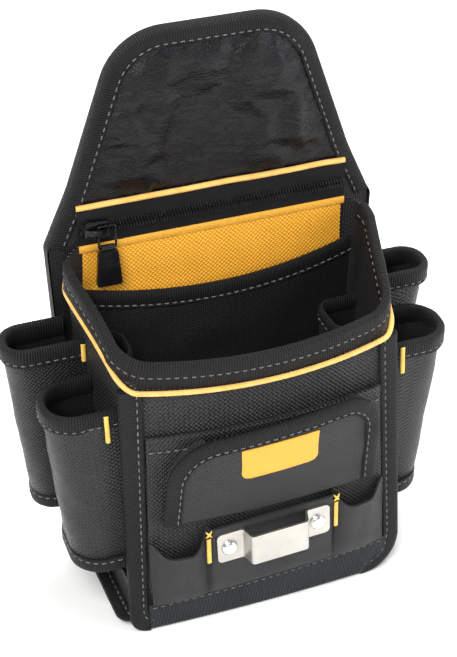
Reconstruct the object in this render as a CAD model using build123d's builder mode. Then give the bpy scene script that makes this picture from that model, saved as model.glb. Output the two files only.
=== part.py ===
"""Electrician's tool pouch: a padded back, a bound cloth bag and outside pockets.

Millimetres, +Z up, +X to the right seen from the front, front towards -Y.
The origin is on the standing face, under the middle of the bag.
"""
import math
import os

from build123d import *

# ---------------------------------------------------------------- bag body
BACK_Y = 38.0              # front face of the back panel
BASE_HALF = 80.0           # half width of the bag on its base, at the back panel
EAR_HALF = 92.0            # half width of the bag at the ears
EAR_Z = 207.0              # height of the rim where it meets the back panel
RIM_CORNER_Z = 176.0       # height of the rim at the front corners
RIM_DIP = 4.0              # how far the rim sags in the middle of the front
FRONT_HALF_LOW = 77.5      # half width of the front at the base
FRONT_HALF_TOP = 76.0      # half width of the front at the rim
FRONT_Y_LOW = -54.0        # middle of the front at the base
FRONT_Y_TOP = -46.0        # middle of the front at the rim
BULGE_LOW = 2.0            # how far the front bows out between its corners, at the base
BULGE_TOP = 11.4           # the same at the rim
CLOTH = 2.0                # cloth and lining of the bag's walls
CLEAR = 0.25               # space left between sewn layers
CORNER_R_LOW = 5.0         # upright front corners, low down
CORNER_R_TOP = 20.0        # upright front corners at the rim
CORNER_BREAK_Z = 150.0     # above this height they open out
BACK_R_LOW = 6.0           # where the side turns in to the back panel, at the base
BACK_R_TOP = 17.0          # the same at the ears
FORM_TOP_Z = 222.0         # the bag's form runs past the rim to this height
FORM_FOOT_Z = -3.0         # and past the base to this one
SEAM_HALF = 72.0           # the front panel's seams, left and right of the middle
KEEL_R_LEFT = 8.0          # lower corner, left
KEEL_R_RIGHT = 22.0        # lower corner, right, more rounded

# ---------------------------------------------------------------- back panel
PANEL_TOP_Z = 320.5
PANEL_FOOT_HALF = 88.0
PANEL_EAR_HALF = 94.5
PANEL_EAR_Z = 204.0
PANEL_WAIST_HALF = 80.0
PANEL_WAIST_Z = 236.0
PANEL_CROWN_HALF = 50.0
PANEL_FOOT_R = 12.0
PANEL_EAR_R = 7.0
PANEL_WAIST_R = 90.0
PANEL_CROWN_R = 36.0
FACING_T = 1.6             # facing and lining cloths of the back panel
FOAM_T = 4.8
COVER_T = 1.6
TAPE_W = 9.5               # visible width of the folded binding tape
TAPE_T = 1.2               # thickness of the tape

# ---------------------------------------------------------------- zipper
ZIP_Z = 214.8
ZIP_HALF = 77.0            # the coil and its tapes end at the side binding
ZIP_LAYER_T = 1.2          # tape and pocket cloth
ZIP_CAVITY = 1.4           # flat pocket behind the tapes
ZIP_GAP = 1.0              # slot between the two halves of the zipper
COIL_PITCH = 1.7
COIL_W = 2.6               # one half of the coil, across the zipper
COIL_T = 2.2
COIL_WIRE = 0.95
COIL_SLANT = 8.0           # lean of the coil's loops, degrees
COIL_TAPER = 9.0
SLIDER_X = -67.0
SLIDER_TRAVEL = 120.0
SLIDER_L = 14.0
SLIDER_NOSE_W = 11.4       # across the wide end, where the coils part
SLIDER_TAIL_W = 9.4
SLIDER_R = 2.4
SLIDER_PLATE = 1.0
SLIDER_FIT = 0.15          # between the slider and the coil and tapes
POST_L = 3.0
POST_T = 0.6
BRIDGE_L = 13.0
BRIDGE_W = 3.0
BRIDGE_GAP = 2.1           # free height under the bridge
BRIDGE_T = 1.2
WIRE_D = 1.3
WIRE_FIT = 0.25            # between the wire and the bridge's upper side
WIRE_BEND_R = 1.2
LINK_W = 9.5               # between the wire's middle lines
LINK_H = 13.4
TAB_TOP_W = 11.0
TAB_FOOT_W = 14.4
TAB_L = 23.7               # from the wire to the free end
TAB_T = 2.6
TAB_R = 1.6
TAB_EYE_R = 1.9
TAB_EYE_FIT = 0.08
TAB_SIDE_FIT = 0.3
TAB_SHOULDER = 1.9         # from the wire to the wide part of the tab
TAB_RECESS = 0.5
TAB_RIM = 1.5
PIPING_D = 3.2
PIPING_Z = 227.5

# ---------------------------------------------------------------- pockets on the back wall
ZIP_POCKET_TOP_Z = 204.5
ZIP_POCKET_FOOT_Z = 112.0
SLIP_HALF = 84.0
SLIP_END_Y = 33.3          # front face of the slip pocket at its ends
SLIP_MID_Y = 25.5          # and in the middle, where it stands open
SLIP_T = 1.8
SLIP_END_Z = 180.3
SLIP_MID_Z = 171.3
SLIP_FOOT_Z = 8.0
BOUND_W = 11.0             # turned and bound pocket edges
BOUND_T = 0.9              # how far they stand proud of the cloth

# ---------------------------------------------------------------- pockets inside
INNER_FOOT_Z = 62.0
INNER_T = 1.6
INNER_REACH_X = 58.5       # inner pocket's face, from the middle of the bag
INNER_R = 9.0
INNER_PLACES = {"left": (0.0, 27.5, 152.0), "right": (-4.0, 27.5, 142.0)}

# ---------------------------------------------------------------- tool tubes outside
TUBE_T = 2.2
TUBE_BAND_T = 1.3          # how far a bound rim stands proud of the cloth
TUBE_RIM_W = 11.0
TUBE_FOOT_W = 9.0
TUBE_SPLIT_Y = 6.5         # seam between the front and the rear tube
TUBE_SEAM_GAP = 3.0
# foot z, rim z, outside x at the foot, outside x at the rim, corner radius
TUBES = {
    ("front", "left"): (43.0, 143.0, 107.5, 115.5, 17.0),
    ("front", "right"): (46.0, 144.0, 100.0, 117.0, 17.0),
    ("rear", "left"): (53.0, 163.0, 117.0, 126.5, 12.5),
    ("rear", "right"): (55.0, 163.0, 105.0, 123.0, 12.5),
}

# ---------------------------------------------------------------- front pockets
SHOE_T = 1.65              # coated base cloth
SHOE_FRONT_Z_LEFT = 18.0
SHOE_FRONT_Z_RIGHT = 24.0
SHOE_SIDE_Z = 29.0
SHOE_STEP = 2.0            # the higher sides begin this far outside the front seams
BASE_TAPE_Z = 5.0          # tape over the seam between a side and the base
BASE_TAPE_T = 3.0
BASE_TAPE_W = 8.5          # how far it stands out from the side
BASE_TAPE_R = 8.0
BASE_TAPE_FRONT_Y = {"left": -47.8, "right": -28.0}
WIDE_FOOT_Z = 26.0
WIDE_TOP_Z = 130.0
WIDE_T = 1.4
WIDE_STAND_FOOT = 0.3
WIDE_STAND_TOP = 1.0
STRIP_TOP_Z = 69.5         # top of the strip over the middle, a little higher on the right
STRIP_RISE = 0.045         # how much it climbs for each millimetre to the right
STRIP_HALF = 70.0
STRIP_T = 1.6
STRIP_TACK_X = 38.0
STRIP_TUCK = 2.5           # the strip steps back this close to its bar tacks
STRIP_FACE_Y = -57.6       # upright face of the middle pocket
STRIP_EDGE_STAND = 3.6     # the strip's outer face at its sewn ends
STRIP_PLEAT_FOOT = 6.5     # the pleated end pockets, at the foot
STRIP_PLEAT_TOP = 11.0     # and at the mouth
STRIP_SEWN = 1.0           # seam allowance at the strip's ends
SCOOP_Z = {"left": 53.0, "right": 60.0}
SCOOP_HALF = 14.5
SCOOP_X = 53.5
ARCH_LEFT_X = -60.5
ARCH_RIGHT_X = 65.5
ARCH_FOOT_Z = 77.0
ARCH_LEFT_Z = 127.0
ARCH_RIGHT_Z = 136.0
ARCH_R_LEFT = 31.0
ARCH_R_RIGHT = 23.0
ARCH_TAPER = 5.0
ARCH_T = 1.6
ARCH_STAND_FOOT = 5.2      # outer face of the arched pocket
ARCH_STAND_TOP = 10.2
LABEL_W = 44.0
LABEL_H = 20.5
LABEL_X = 3.5
LABEL_Z = 109.5
LABEL_T = 0.9
LABEL_R = 5.0
TACK_W = 2.4
TACK_H = 22.0
TACK_T = 0.9
TACK_LIFT = 2.6            # the thread bridges the tuck it closes
TACK_SIDE_H = 16.0

# ---------------------------------------------------------------- tape clip
CLIP_T = 1.2
CLIP_H = 20.5
CLIP_Z = 55.5
CLIP_TILT = 2.5            # degrees, up to the right
CLIP_LEFT_X = -33.5
CLIP_RISE_LEFT_X = -15.5
CLIP_RISE_RIGHT_X = 17.0
CLIP_RIGHT_X = 33.5
CLIP_RISE = 8.4
CLIP_SLOPE = 2.5
CLIP_BEND_R = 1.8
CLIP_CORNER_R = 3.0
RIVET_XS = (-26.5, 26.0)    # along the clip, from its middle
RIVET_HEAD_R = 4.8
RIVET_HEAD_T = 2.4
RIVET_DOME_R = 2.2
RIVET_SHANK_R = 1.9
RIVET_FIT = 0.05
RIVET_BACK_R = 3.6
RIVET_BACK_T = 0.9

# ---------------------------------------------------------------- binding and piping
RIM_PROUD = 1.7
RIM_WIDE = 15.0            # rim binding seen from outside
RIM_COVER = 2.0            # tape over the cut edge
RIM_PIPING_T = 2.6
RIM_PIPING_PROUD = 3.0
CORNER_OUT_LOW = 83.0
CORNER_OUT_TOP = 79.0
CORNER_IN_LOW = 72.5
CORNER_IN_TOP = 66.0
CORNER_TAPE_T = 1.8
CORNER_FIN_T = 3.0

# ---------------------------------------------------------------- belt tunnel
TUNNEL_HALF = 52.0
TUNNEL_FOOT_Z = 118.0
TUNNEL_TOP_Z = 232.0
TUNNEL_HEM = 13.0
TUNNEL_GAP = 6.5
TUNNEL_T = 2.4
TUNNEL_BEND_R = 4.0

# ---------------------------------------------------------------- cutting bodies
REACH = 160.0              # half length, past every wall
FORM_AHEAD = 20.0          # the sides of the form run on this far before the front
FRONT_CUT = 8.0            # the block that cuts the front stands this far before it
FRONT_CUT_BACK = 12.0      # and reaches this far behind the cloth at the rim
RIM_CUT_AHEAD = 30.0
RIM_CUT_BEHIND = 20.0
RIM_SWEEP = ((0.35, 0.43), (0.7, 0.755))    # shares of the way back and up along the rim
KEEL_OPEN_Z = 888.0
ARCH_CUT = 40.0

PANEL_BACK_Y = BACK_Y + FACING_T + FOAM_T + COVER_T
ZIP_LAYER_Y = BACK_Y - ZIP_CAVITY          # rear face of the zipper's tapes
ZIP_FACE_Y = ZIP_LAYER_Y - ZIP_LAYER_T     # front face of the tapes
COIL_Y = ZIP_FACE_Y - COIL_T               # front of the coil
SHOE_STEP_X = SEAM_HALF + SHOE_STEP
CLIP_COS = math.cos(math.radians(CLIP_TILT))
CLIP_SIN = math.sin(math.radians(CLIP_TILT))
RIVET_PLACES = [(x * CLIP_COS, CLIP_Z + x * CLIP_SIN) for x in RIVET_XS]
BAG_SIDES = {"left": -1, "right": 1}

os.makedirs("parts", exist_ok=True)


def save(piece, name):
    """Labels a finished piece and writes its file."""
    piece.label = name
    export_step(piece, f"parts/{name}.step")


def between(low, high, share):
    """The value that lies `share` of the way from low to high."""
    return low + (high - low) * share


def side_x(y, z):
    """Half width of the bag's outside at a depth and a height."""
    corner_y = front_y(z) + bulge(z)
    front_half = between(FRONT_HALF_LOW, FRONT_HALF_TOP, z / RIM_CORNER_Z)
    back_half = between(BASE_HALF, EAR_HALF, z / EAR_Z)
    return between(front_half, back_half, (y - corner_y) / (BACK_Y - corner_y))


def front_y(z):
    """Depth of the middle of the front at a height."""
    return between(FRONT_Y_LOW, FRONT_Y_TOP, z / RIM_CORNER_Z)


def bulge(z):
    """How far the middle of the front stands before its corners."""
    return between(BULGE_LOW, BULGE_TOP, z / RIM_CORNER_Z)


def front_depth(x, z):
    """Depth of the front's outside at a place on it."""
    half = FRONT_HALF_TOP
    radius = (half**2 + bulge(z) ** 2) / (2 * bulge(z))
    return front_y(z) + radius - math.sqrt(radius**2 - x**2)


def bag_form(grow):
    """The bag's rounded form, from the base past the rim, pushed out by `grow`."""
    levels = (
        (FORM_FOOT_Z, CORNER_R_LOW),
        (CORNER_BREAK_Z, CORNER_R_LOW + 1),
        (RIM_CORNER_Z, CORNER_R_TOP),
        (FORM_TOP_Z, CORNER_R_TOP),
    )
    with BuildPart() as form:
        for z, front_r in levels:
            back_r = between(BACK_R_LOW, BACK_R_TOP, z / EAR_Z)
            ahead = FRONT_Y_LOW - FORM_AHEAD
            with BuildSketch(Plane.XY.offset(z)):
                with BuildLine():
                    Polyline(
                        (side_x(BACK_Y, z) + grow, BACK_Y),
                        (side_x(ahead, z) + grow, ahead),
                        (-side_x(ahead, z) - grow, ahead),
                        (-side_x(BACK_Y, z) - grow, BACK_Y),
                        close=True,
                    )
                make_face()
                with BuildLine():
                    bow = front_arc(z, grow)
                    Polyline(bow @ 1, (REACH, BACK_Y), (-REACH, BACK_Y), bow @ 0)
                make_face(mode=Mode.INTERSECT)
                fillet(vertices().group_by(Axis.Y)[0], front_r + grow)
                fillet(vertices().group_by(Axis.Y)[-1], back_r + grow)
        loft(ruled=True)
    return form.part


def front_arc(z, stand):
    """The curve of the front at a height, `stand` mm before the cloth."""
    wide = PANEL_EAR_HALF
    return ThreePointArc(
        (-wide, front_depth(wide, z) - stand),
        (0, front_y(z) - stand),
        (wide, front_depth(wide, z) - stand),
    )


def keel(grow):
    """The bag's outline from the front, open upwards, pushed out by `grow`."""
    foot_z = SHOE_T + CLEAR - grow
    with BuildPart() as body:
        with BuildSketch(Plane.XZ):
            with BuildLine():
                Polyline(
                    (-BASE_HALF - grow, foot_z),
                    (BASE_HALF + grow, foot_z),
                    (REACH, KEEL_OPEN_Z),
                    (-REACH, KEEL_OPEN_Z),
                    close=True,
                )
            make_face()
            fillet(vertices().sort_by_distance((-BASE_HALF, foot_z, 0))[0], KEEL_R_LEFT + grow)
            fillet(vertices().sort_by_distance((BASE_HALF, foot_z, 0))[0], KEEL_R_RIGHT + grow)
        extrude(amount=REACH, both=True)
    return body.part


def bag_hull(grow):
    """The bag's form with its rounded lower corners."""
    form = bag_form(grow)
    outline = keel(grow)
    with BuildPart() as hull:
        add(form)
        add(outline, mode=Mode.INTERSECT)
    return hull.part


def rim_band(upper, lower):
    """Everything between `upper` and `lower` mm under the rim line, right through the bag."""
    corner_y = FRONT_Y_TOP + BULGE_TOP
    climb = [(between(corner_y, BACK_Y, y), between(RIM_CORNER_Z, EAR_Z, z)) for y, z in RIM_SWEEP]
    line = [
        (FRONT_Y_LOW - RIM_CUT_AHEAD, RIM_CORNER_Z - RIM_DIP - 1),
        (FRONT_Y_TOP, RIM_CORNER_Z - RIM_DIP),
        (corner_y, RIM_CORNER_Z),
        *climb,
        (BACK_Y, EAR_Z),
        (BACK_Y + RIM_CUT_BEHIND, EAR_Z + RIM_DIP),
    ]
    with BuildPart() as band:
        with BuildSketch(Plane.YZ):
            with BuildLine():
                top = Spline(*[(y, z - upper) for y, z in line])
                foot = Spline(*[(y, z - lower) for y, z in line])
                Line(top @ 0, foot @ 0)
                Line(top @ 1, foot @ 1)
            make_face()
        extrude(amount=REACH, both=True)
    return band.part


def front_sheet(low, high, outer, inner):
    """A sheet that follows the front, between two stand-offs that may differ at its ends."""
    with BuildPart() as sheet:
        for z, out, back in ((low, outer[0], inner[0]), (high, outer[1], inner[1])):
            with BuildSketch(Plane.XY.offset(z)):
                with BuildLine():
                    face = front_arc(z, out)
                    rear = front_arc(z, back)
                    Line(face @ 0, rear @ 0)
                    Line(face @ 1, rear @ 1)
                make_face()
        loft(ruled=True)
    return sheet.part


# ================================================================ walls of the bag
outside = bag_hull(0)
inside = bag_hull(-CLOTH)
below_rim = rim_band(RIM_COVER, 2 * FORM_TOP_Z)
floor_z = SHOE_T + CLEAR + CLOTH
front_block = front_sheet(0, FORM_TOP_Z, (FRONT_CUT, FRONT_CUT), (-CLOTH, -CLOTH - FRONT_CUT_BACK))

with BuildPart() as front_panel:
    add(outside)
    add(inside, mode=Mode.SUBTRACT)
    add(front_block, mode=Mode.INTERSECT)
    add(below_rim, mode=Mode.INTERSECT)
    with BuildSketch(Plane.XZ):
        with BuildLine():
            Polyline(
                (-SEAM_HALF, floor_z),
                (SEAM_HALF, floor_z),
                (SEAM_HALF, FORM_TOP_Z),
                (-SEAM_HALF, FORM_TOP_Z),
                close=True,
            )
        make_face()
    extrude(amount=REACH, both=True, mode=Mode.INTERSECT)
save(front_panel.part, "front_panel")

with BuildPart() as bottom_panel:
    add(outside)
    add(inside, mode=Mode.SUBTRACT)
    with BuildSketch(Plane.XY):
        with BuildLine():
            Polyline(
                (-BASE_HALF + KEEL_R_LEFT, -REACH),
                (BASE_HALF - KEEL_R_RIGHT, -REACH),
                (BASE_HALF - KEEL_R_RIGHT, REACH),
                (-BASE_HALF + KEEL_R_LEFT, REACH),
                close=True,
            )
        make_face()
    extrude(amount=floor_z, mode=Mode.INTERSECT)
save(bottom_panel.part, "bottom_panel")

with BuildPart() as side_walls:
    add(outside)
    add(inside, mode=Mode.SUBTRACT)
    add(front_panel.part, mode=Mode.SUBTRACT)
    add(bottom_panel.part, mode=Mode.SUBTRACT)
    add(below_rim, mode=Mode.INTERSECT)
for side, sign in BAG_SIDES.items():
    with BuildPart() as gusset:
        add(side_walls.part)
        with BuildSketch(Plane.XY):
            with BuildLine():
                Polyline((0, -REACH), (sign * REACH, -REACH), (sign * REACH, REACH), (0, REACH), close=True)
            make_face()
        extrude(amount=FORM_TOP_Z, mode=Mode.INTERSECT)
    save(gusset.part, f"gusset_{side}")

# ================================================================ coated base shoe
shoe_form = bag_hull(SHOE_T + CLEAR)
shoe_hollow = bag_hull(CLEAR)
with BuildPart() as shoe_sheet:
    add(shoe_form)
    add(shoe_hollow, mode=Mode.SUBTRACT)
    with BuildSketch(Plane.XZ):
        with BuildLine():
            Polyline(
                (-REACH, 0),
                (REACH, 0),
                (REACH, SHOE_SIDE_Z),
                (SHOE_STEP_X, SHOE_SIDE_Z),
                (SHOE_STEP_X, SHOE_FRONT_Z_RIGHT),
                (-SHOE_STEP_X, SHOE_FRONT_Z_LEFT),
                (-SHOE_STEP_X, SHOE_SIDE_Z),
                (-REACH, SHOE_SIDE_Z),
                close=True,
            )
        make_face()
    extrude(amount=REACH, both=True, mode=Mode.INTERSECT)

# ================================================================ bindings of the bag
rim_outer = bag_form(RIM_PROUD)
rim_inner = bag_form(-CLOTH - RIM_PROUD)
wall_outer = bag_form(CLEAR)
wall_inner = bag_form(-CLOTH - CLEAR)

with BuildPart() as wall_room:
    add(wall_outer)
    add(wall_inner, mode=Mode.SUBTRACT)
    add(rim_band(RIM_COVER - CLEAR, FORM_TOP_Z), mode=Mode.INTERSECT)

with BuildPart() as rim_binding:
    add(rim_outer)
    add(rim_inner, mode=Mode.SUBTRACT)
    add(rim_band(0, RIM_WIDE), mode=Mode.INTERSECT)
    add(wall_room.part, mode=Mode.SUBTRACT)
save(rim_binding.part, "rim_binding")

piping_form = bag_form(RIM_PIPING_PROUD)
with BuildPart() as rim_piping:
    add(piping_form)
    add(wall_outer, mode=Mode.SUBTRACT)
    add(rim_band(RIM_WIDE + CLEAR, RIM_WIDE + CLEAR + RIM_PIPING_T), mode=Mode.INTERSECT)
save(rim_piping.part, "rim_piping")

under_piping = rim_band(RIM_WIDE + RIM_PIPING_T + 2 * CLEAR, 2 * FORM_TOP_Z)


def corner_region(side, grow):
    """A corner tape's outline from the front: down the corner and round under it."""
    sign = BAG_SIDES[side]
    keel_r = KEEL_R_LEFT if side == "left" else KEEL_R_RIGHT
    tape_w = CORNER_OUT_LOW - CORNER_IN_LOW
    bend_r = keel_r + SHOE_T + CLEAR
    with BuildSketch(Plane.XZ) as region:
        with BuildLine():
            Polyline(
                (0, -grow),
                (sign * (CORNER_OUT_LOW + grow), -grow),
                (sign * (CORNER_OUT_TOP + grow), RIM_CORNER_Z),
                (0, RIM_CORNER_Z),
                close=True,
            )
        make_face()
        fillet(vertices().sort_by_distance((sign * CORNER_OUT_LOW, 0, 0))[0], bend_r + grow)
        with BuildLine():
            Polyline(
                (0, tape_w + grow),
                (sign * (CORNER_IN_LOW - grow), tape_w + grow),
                (sign * (CORNER_IN_TOP - grow), RIM_CORNER_Z),
                (0, RIM_CORNER_Z),
                close=True,
            )
        make_face(mode=Mode.SUBTRACT)
        fillet(vertices().sort_by_distance((sign * CORNER_IN_LOW, tape_w, 0))[0], bend_r / 2)
        Rectangle(2 * (BASE_HALF - keel_r - grow), 2 * FORM_TOP_Z, mode=Mode.SUBTRACT)
    return region.sketch


def corner_layer(side, grow, outer, inner):
    """The part of a sheet along the front that lies inside a corner tape's outline."""
    outline = corner_region(side, grow)
    with BuildPart() as layer:
        add(front_sheet(-CLEAR, FORM_TOP_Z, (outer, outer), (inner, inner)))
        with BuildSketch(Plane.XZ):
            add(outline)
        extrude(amount=REACH, both=True, mode=Mode.INTERSECT)
    return layer.part


corner_rooms = {}
for side in BAG_SIDES:
    corner_body = corner_layer(side, 0, CORNER_TAPE_T, -CORNER_FIN_T)
    corner_rooms[side] = corner_layer(side, CLEAR, 2 * CORNER_TAPE_T, -CORNER_FIN_T - CLEAR)
    with BuildPart() as corner_binding:
        add(corner_body)
        add(under_piping, mode=Mode.INTERSECT)
        add(shoe_hollow, mode=Mode.SUBTRACT)
    save(corner_binding.part, f"corner_binding_{side}")

with BuildPart() as base_shoe:
    add(shoe_sheet.part)
    add(corner_rooms["left"], mode=Mode.SUBTRACT)
    add(corner_rooms["right"], mode=Mode.SUBTRACT)
save(base_shoe.part, "base_shoe")

# ================================================================ tapes along the base's side seams
base_tape_form = bag_hull(SHOE_T + 2 * CLEAR + BASE_TAPE_W)
base_tape_room = bag_hull(SHOE_T + 2 * CLEAR)
base_tape_x = BASE_HALF + SHOE_T + 2 * CLEAR + BASE_TAPE_W
base_tape_end_y = BACK_Y - TAPE_T - 2 * CLEAR
for side, sign in BAG_SIDES.items():
    start_y = BASE_TAPE_FRONT_Y[side]
    with BuildPart() as base_tape:
        with BuildSketch(Plane.XY.offset(BASE_TAPE_Z)):
            with BuildLine():
                Polyline(
                    (sign * SEAM_HALF / 2, start_y),
                    (sign * base_tape_x, start_y),
                    (sign * base_tape_x, base_tape_end_y),
                    (sign * SEAM_HALF / 2, base_tape_end_y),
                    close=True,
                )
            make_face()
            fillet(vertices().sort_by_distance((sign * base_tape_x, start_y, 0))[0], BASE_TAPE_R)
        extrude(amount=BASE_TAPE_T)
        add(base_tape_form, mode=Mode.INTERSECT)
        add(base_tape_room, mode=Mode.SUBTRACT)
    save(base_tape.part, f"base_tape_{side}")

# ================================================================ back panel


def panel_outline(inset):
    """The back panel's outline, seen from the front, drawn in by `inset`."""
    with BuildSketch(Plane.XZ) as outline:
        with BuildLine():
            Polyline(
                (-PANEL_FOOT_HALF, 0),
                (PANEL_FOOT_HALF, 0),
                (PANEL_EAR_HALF, PANEL_EAR_Z),
                (PANEL_WAIST_HALF, PANEL_WAIST_Z),
                (PANEL_CROWN_HALF, PANEL_TOP_Z),
                (-PANEL_CROWN_HALF, PANEL_TOP_Z),
                (-PANEL_WAIST_HALF, PANEL_WAIST_Z),
                (-PANEL_EAR_HALF, PANEL_EAR_Z),
                close=True,
            )
        make_face()
        radii = {
            0: PANEL_FOOT_R,
            PANEL_EAR_Z: PANEL_EAR_R,
            PANEL_WAIST_Z: PANEL_WAIST_R,
            PANEL_TOP_Z: PANEL_CROWN_R,
        }
        for z, radius in radii.items():
            fillet([v for v in vertices() if abs(v.Y - z) < CLEAR], radius)
        if inset:
            offset(amount=-inset)
    return outline.sketch


def panel_layer(inset, front, thick):
    """A sheet of the back panel from depth `front`, `thick` mm deep."""
    outline = panel_outline(inset)
    with BuildPart() as layer:
        with BuildSketch(Plane.XZ.offset(-front)):
            add(outline.moved(Location((0, front, 0))))
        extrude(amount=-thick)
    return layer.part


def height_slab(low, high):
    """Everything between two heights."""
    with BuildPart() as slab:
        with BuildSketch(Plane.XY.offset(low)):
            Rectangle(2 * REACH, 2 * REACH)
        extrude(amount=high - low)
    return slab.part


facing_sheet = panel_layer(TAPE_T + CLEAR, BACK_Y, FACING_T)
with BuildPart() as leather_facing:
    add(facing_sheet)
    add(height_slab(PIPING_Z, 2 * PANEL_TOP_Z), mode=Mode.INTERSECT)
save(leather_facing.part, "leather_facing")

with BuildPart() as back_lining:
    add(facing_sheet)
    add(height_slab(-PANEL_TOP_Z, PIPING_Z), mode=Mode.INTERSECT)
save(back_lining.part, "back_lining")

foam_y = BACK_Y + FACING_T
cover_y = foam_y + FOAM_T
save(panel_layer(TAPE_T + 2 * CLEAR, foam_y, FOAM_T), "back_foam")
save(panel_layer(TAPE_T + CLEAR, cover_y, COVER_T), "back_cover")

tape_sheet = panel_layer(0, BACK_Y - TAPE_T - CLEAR, FACING_T + FOAM_T + COVER_T + 2 * TAPE_T + 2 * CLEAR)
tape_core = panel_layer(TAPE_T, BACK_Y - CLEAR, FACING_T + FOAM_T + COVER_T + 2 * CLEAR)
tape_window = panel_layer(TAPE_W, BACK_Y - REACH, 2 * REACH)
with BuildPart() as back_binding:
    add(tape_sheet)
    add(tape_core, mode=Mode.SUBTRACT)
    add(tape_window, mode=Mode.SUBTRACT)
    add(piping_form, mode=Mode.SUBTRACT)
save(back_binding.part, "back_binding")

# ================================================================ piping and zipper
tape_room = panel_layer(TAPE_W + CLEAR, BACK_Y - REACH, 2 * REACH)
with BuildPart() as accent_piping:
    with BuildSketch(Plane.YZ.offset(-ZIP_HALF)):
        with Locations((BACK_Y - PIPING_D / 2, PIPING_Z)):
            Circle(PIPING_D / 2)
    extrude(amount=2 * ZIP_HALF)
    add(tape_room, mode=Mode.INTERSECT)
save(accent_piping.part, "accent_piping")

tape_spans = {
    "upper": (ZIP_Z + ZIP_GAP / 2, PIPING_Z - PIPING_D / 2 - CLEAR),
    "lower": (ZIP_POCKET_TOP_Z, ZIP_Z - ZIP_GAP / 2),
}
for place, (low, high) in tape_spans.items():
    with BuildPart() as zip_tape:
        with BuildSketch(Plane.XZ.offset(-ZIP_LAYER_Y)):
            with Locations((0, (low + high) / 2)):
                Rectangle(2 * ZIP_HALF, high - low)
        extrude(amount=ZIP_LAYER_T)
        add(tape_room, mode=Mode.INTERSECT)
    save(zip_tape.part, f"zip_tape_{place}")

coil_count = int(2 * ZIP_HALF / COIL_PITCH) - 1
for place, sign in (("upper", 1), ("lower", -1)):
    row_z = ZIP_Z + sign * (ZIP_GAP + COIL_W) / 2
    with BuildPart() as zip_coil:
        with BuildSketch(Plane.XZ.offset(-ZIP_FACE_Y)):
            with Locations((sign * COIL_PITCH / 4, row_z)):
                with GridLocations(COIL_PITCH, COIL_W, coil_count, 1):
                    Rectangle(COIL_WIRE, COIL_W, rotation=sign * COIL_SLANT)
        extrude(amount=COIL_T, taper=COIL_TAPER)
    save(zip_coil.part, f"zip_coil_{place}")


def slider_outline(y):
    """The slider's plate outline on an upright plane at depth y."""
    with BuildSketch(Plane.XZ.offset(-y)) as outline:
        with BuildLine():
            Polyline(
                (SLIDER_X - SLIDER_L / 2, ZIP_Z - SLIDER_NOSE_W / 2),
                (SLIDER_X + SLIDER_L / 2, ZIP_Z - SLIDER_TAIL_W / 2),
                (SLIDER_X + SLIDER_L / 2, ZIP_Z + SLIDER_TAIL_W / 2),
                (SLIDER_X - SLIDER_L / 2, ZIP_Z + SLIDER_NOSE_W / 2),
                close=True,
            )
        make_face()
        fillet(vertices(), SLIDER_R)
    return outline.sketch


plate_rear_y = COIL_Y - SLIDER_FIT
plate_face_y = plate_rear_y - SLIDER_PLATE
rail_y = ZIP_FACE_Y - SLIDER_FIT
under_y = ZIP_LAYER_Y + SLIDER_FIT
under_t = ZIP_CAVITY - 2 * SLIDER_FIT
channel_w = ZIP_GAP + 2 * COIL_W + 4 * SLIDER_FIT
plate_shape = slider_outline(plate_rear_y)
rail_shape = slider_outline(rail_y)
under_shape = slider_outline(under_y)
with BuildPart() as zip_slider:
    with BuildSketch(Plane.XZ.offset(-plate_rear_y)):
        add(plate_shape)
    extrude(amount=SLIDER_PLATE)
    with BuildSketch(Plane.XZ.offset(-rail_y)):
        add(rail_shape)
        with Locations((SLIDER_X, ZIP_Z)):
            Rectangle(2 * SLIDER_L, channel_w, mode=Mode.SUBTRACT)
    extrude(amount=rail_y - plate_rear_y)
    with BuildSketch(Plane.XZ.offset(-under_y)):
        add(under_shape)
    extrude(amount=-under_t)
    with BuildSketch(Plane.XZ.offset(-under_y)):
        with Locations((SLIDER_X - SLIDER_L / 2 + POST_L, ZIP_Z)):
            Rectangle(POST_L, POST_T)
    extrude(amount=under_y - plate_rear_y)
    with BuildSketch(Plane.XY.offset(ZIP_Z - BRIDGE_W / 2)):
        with BuildLine():
            crown = ThreePointArc(
                (SLIDER_X - BRIDGE_L / 2, plate_face_y),
                (SLIDER_X, plate_face_y - BRIDGE_GAP - BRIDGE_T),
                (SLIDER_X + BRIDGE_L / 2, plate_face_y),
            )
            hollow = ThreePointArc(
                (SLIDER_X - BRIDGE_L / 2 + BRIDGE_T, plate_face_y),
                (SLIDER_X, plate_face_y - BRIDGE_GAP),
                (SLIDER_X + BRIDGE_L / 2 - BRIDGE_T, plate_face_y),
            )
            Line(crown @ 0, hollow @ 0)
            Line(crown @ 1, hollow @ 1)
        make_face()
    extrude(amount=BRIDGE_W)
save(zip_slider.part, "zip_slider")

wire_y = plate_face_y - BRIDGE_GAP / 2
link_top_z = ZIP_Z + BRIDGE_W / 2 + WIRE_FIT + WIRE_D / 2
link_foot_z = link_top_z - LINK_H
link_mid_x = SLIDER_X + LINK_W / 2
with BuildPart() as pull_link:
    with BuildLine():
        loop = FilletPolyline(
            (SLIDER_X, wire_y, link_top_z),
            (SLIDER_X, wire_y, link_foot_z),
            (SLIDER_X + LINK_W, wire_y, link_foot_z),
            (SLIDER_X + LINK_W, wire_y, link_top_z),
            radius=WIRE_BEND_R,
            close=True,
        )
    with BuildSketch(Plane(origin=loop @ 0, z_dir=loop % 0)):
        Circle(WIRE_D / 2)
    sweep(path=loop)
save(pull_link.part, "pull_link")

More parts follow.
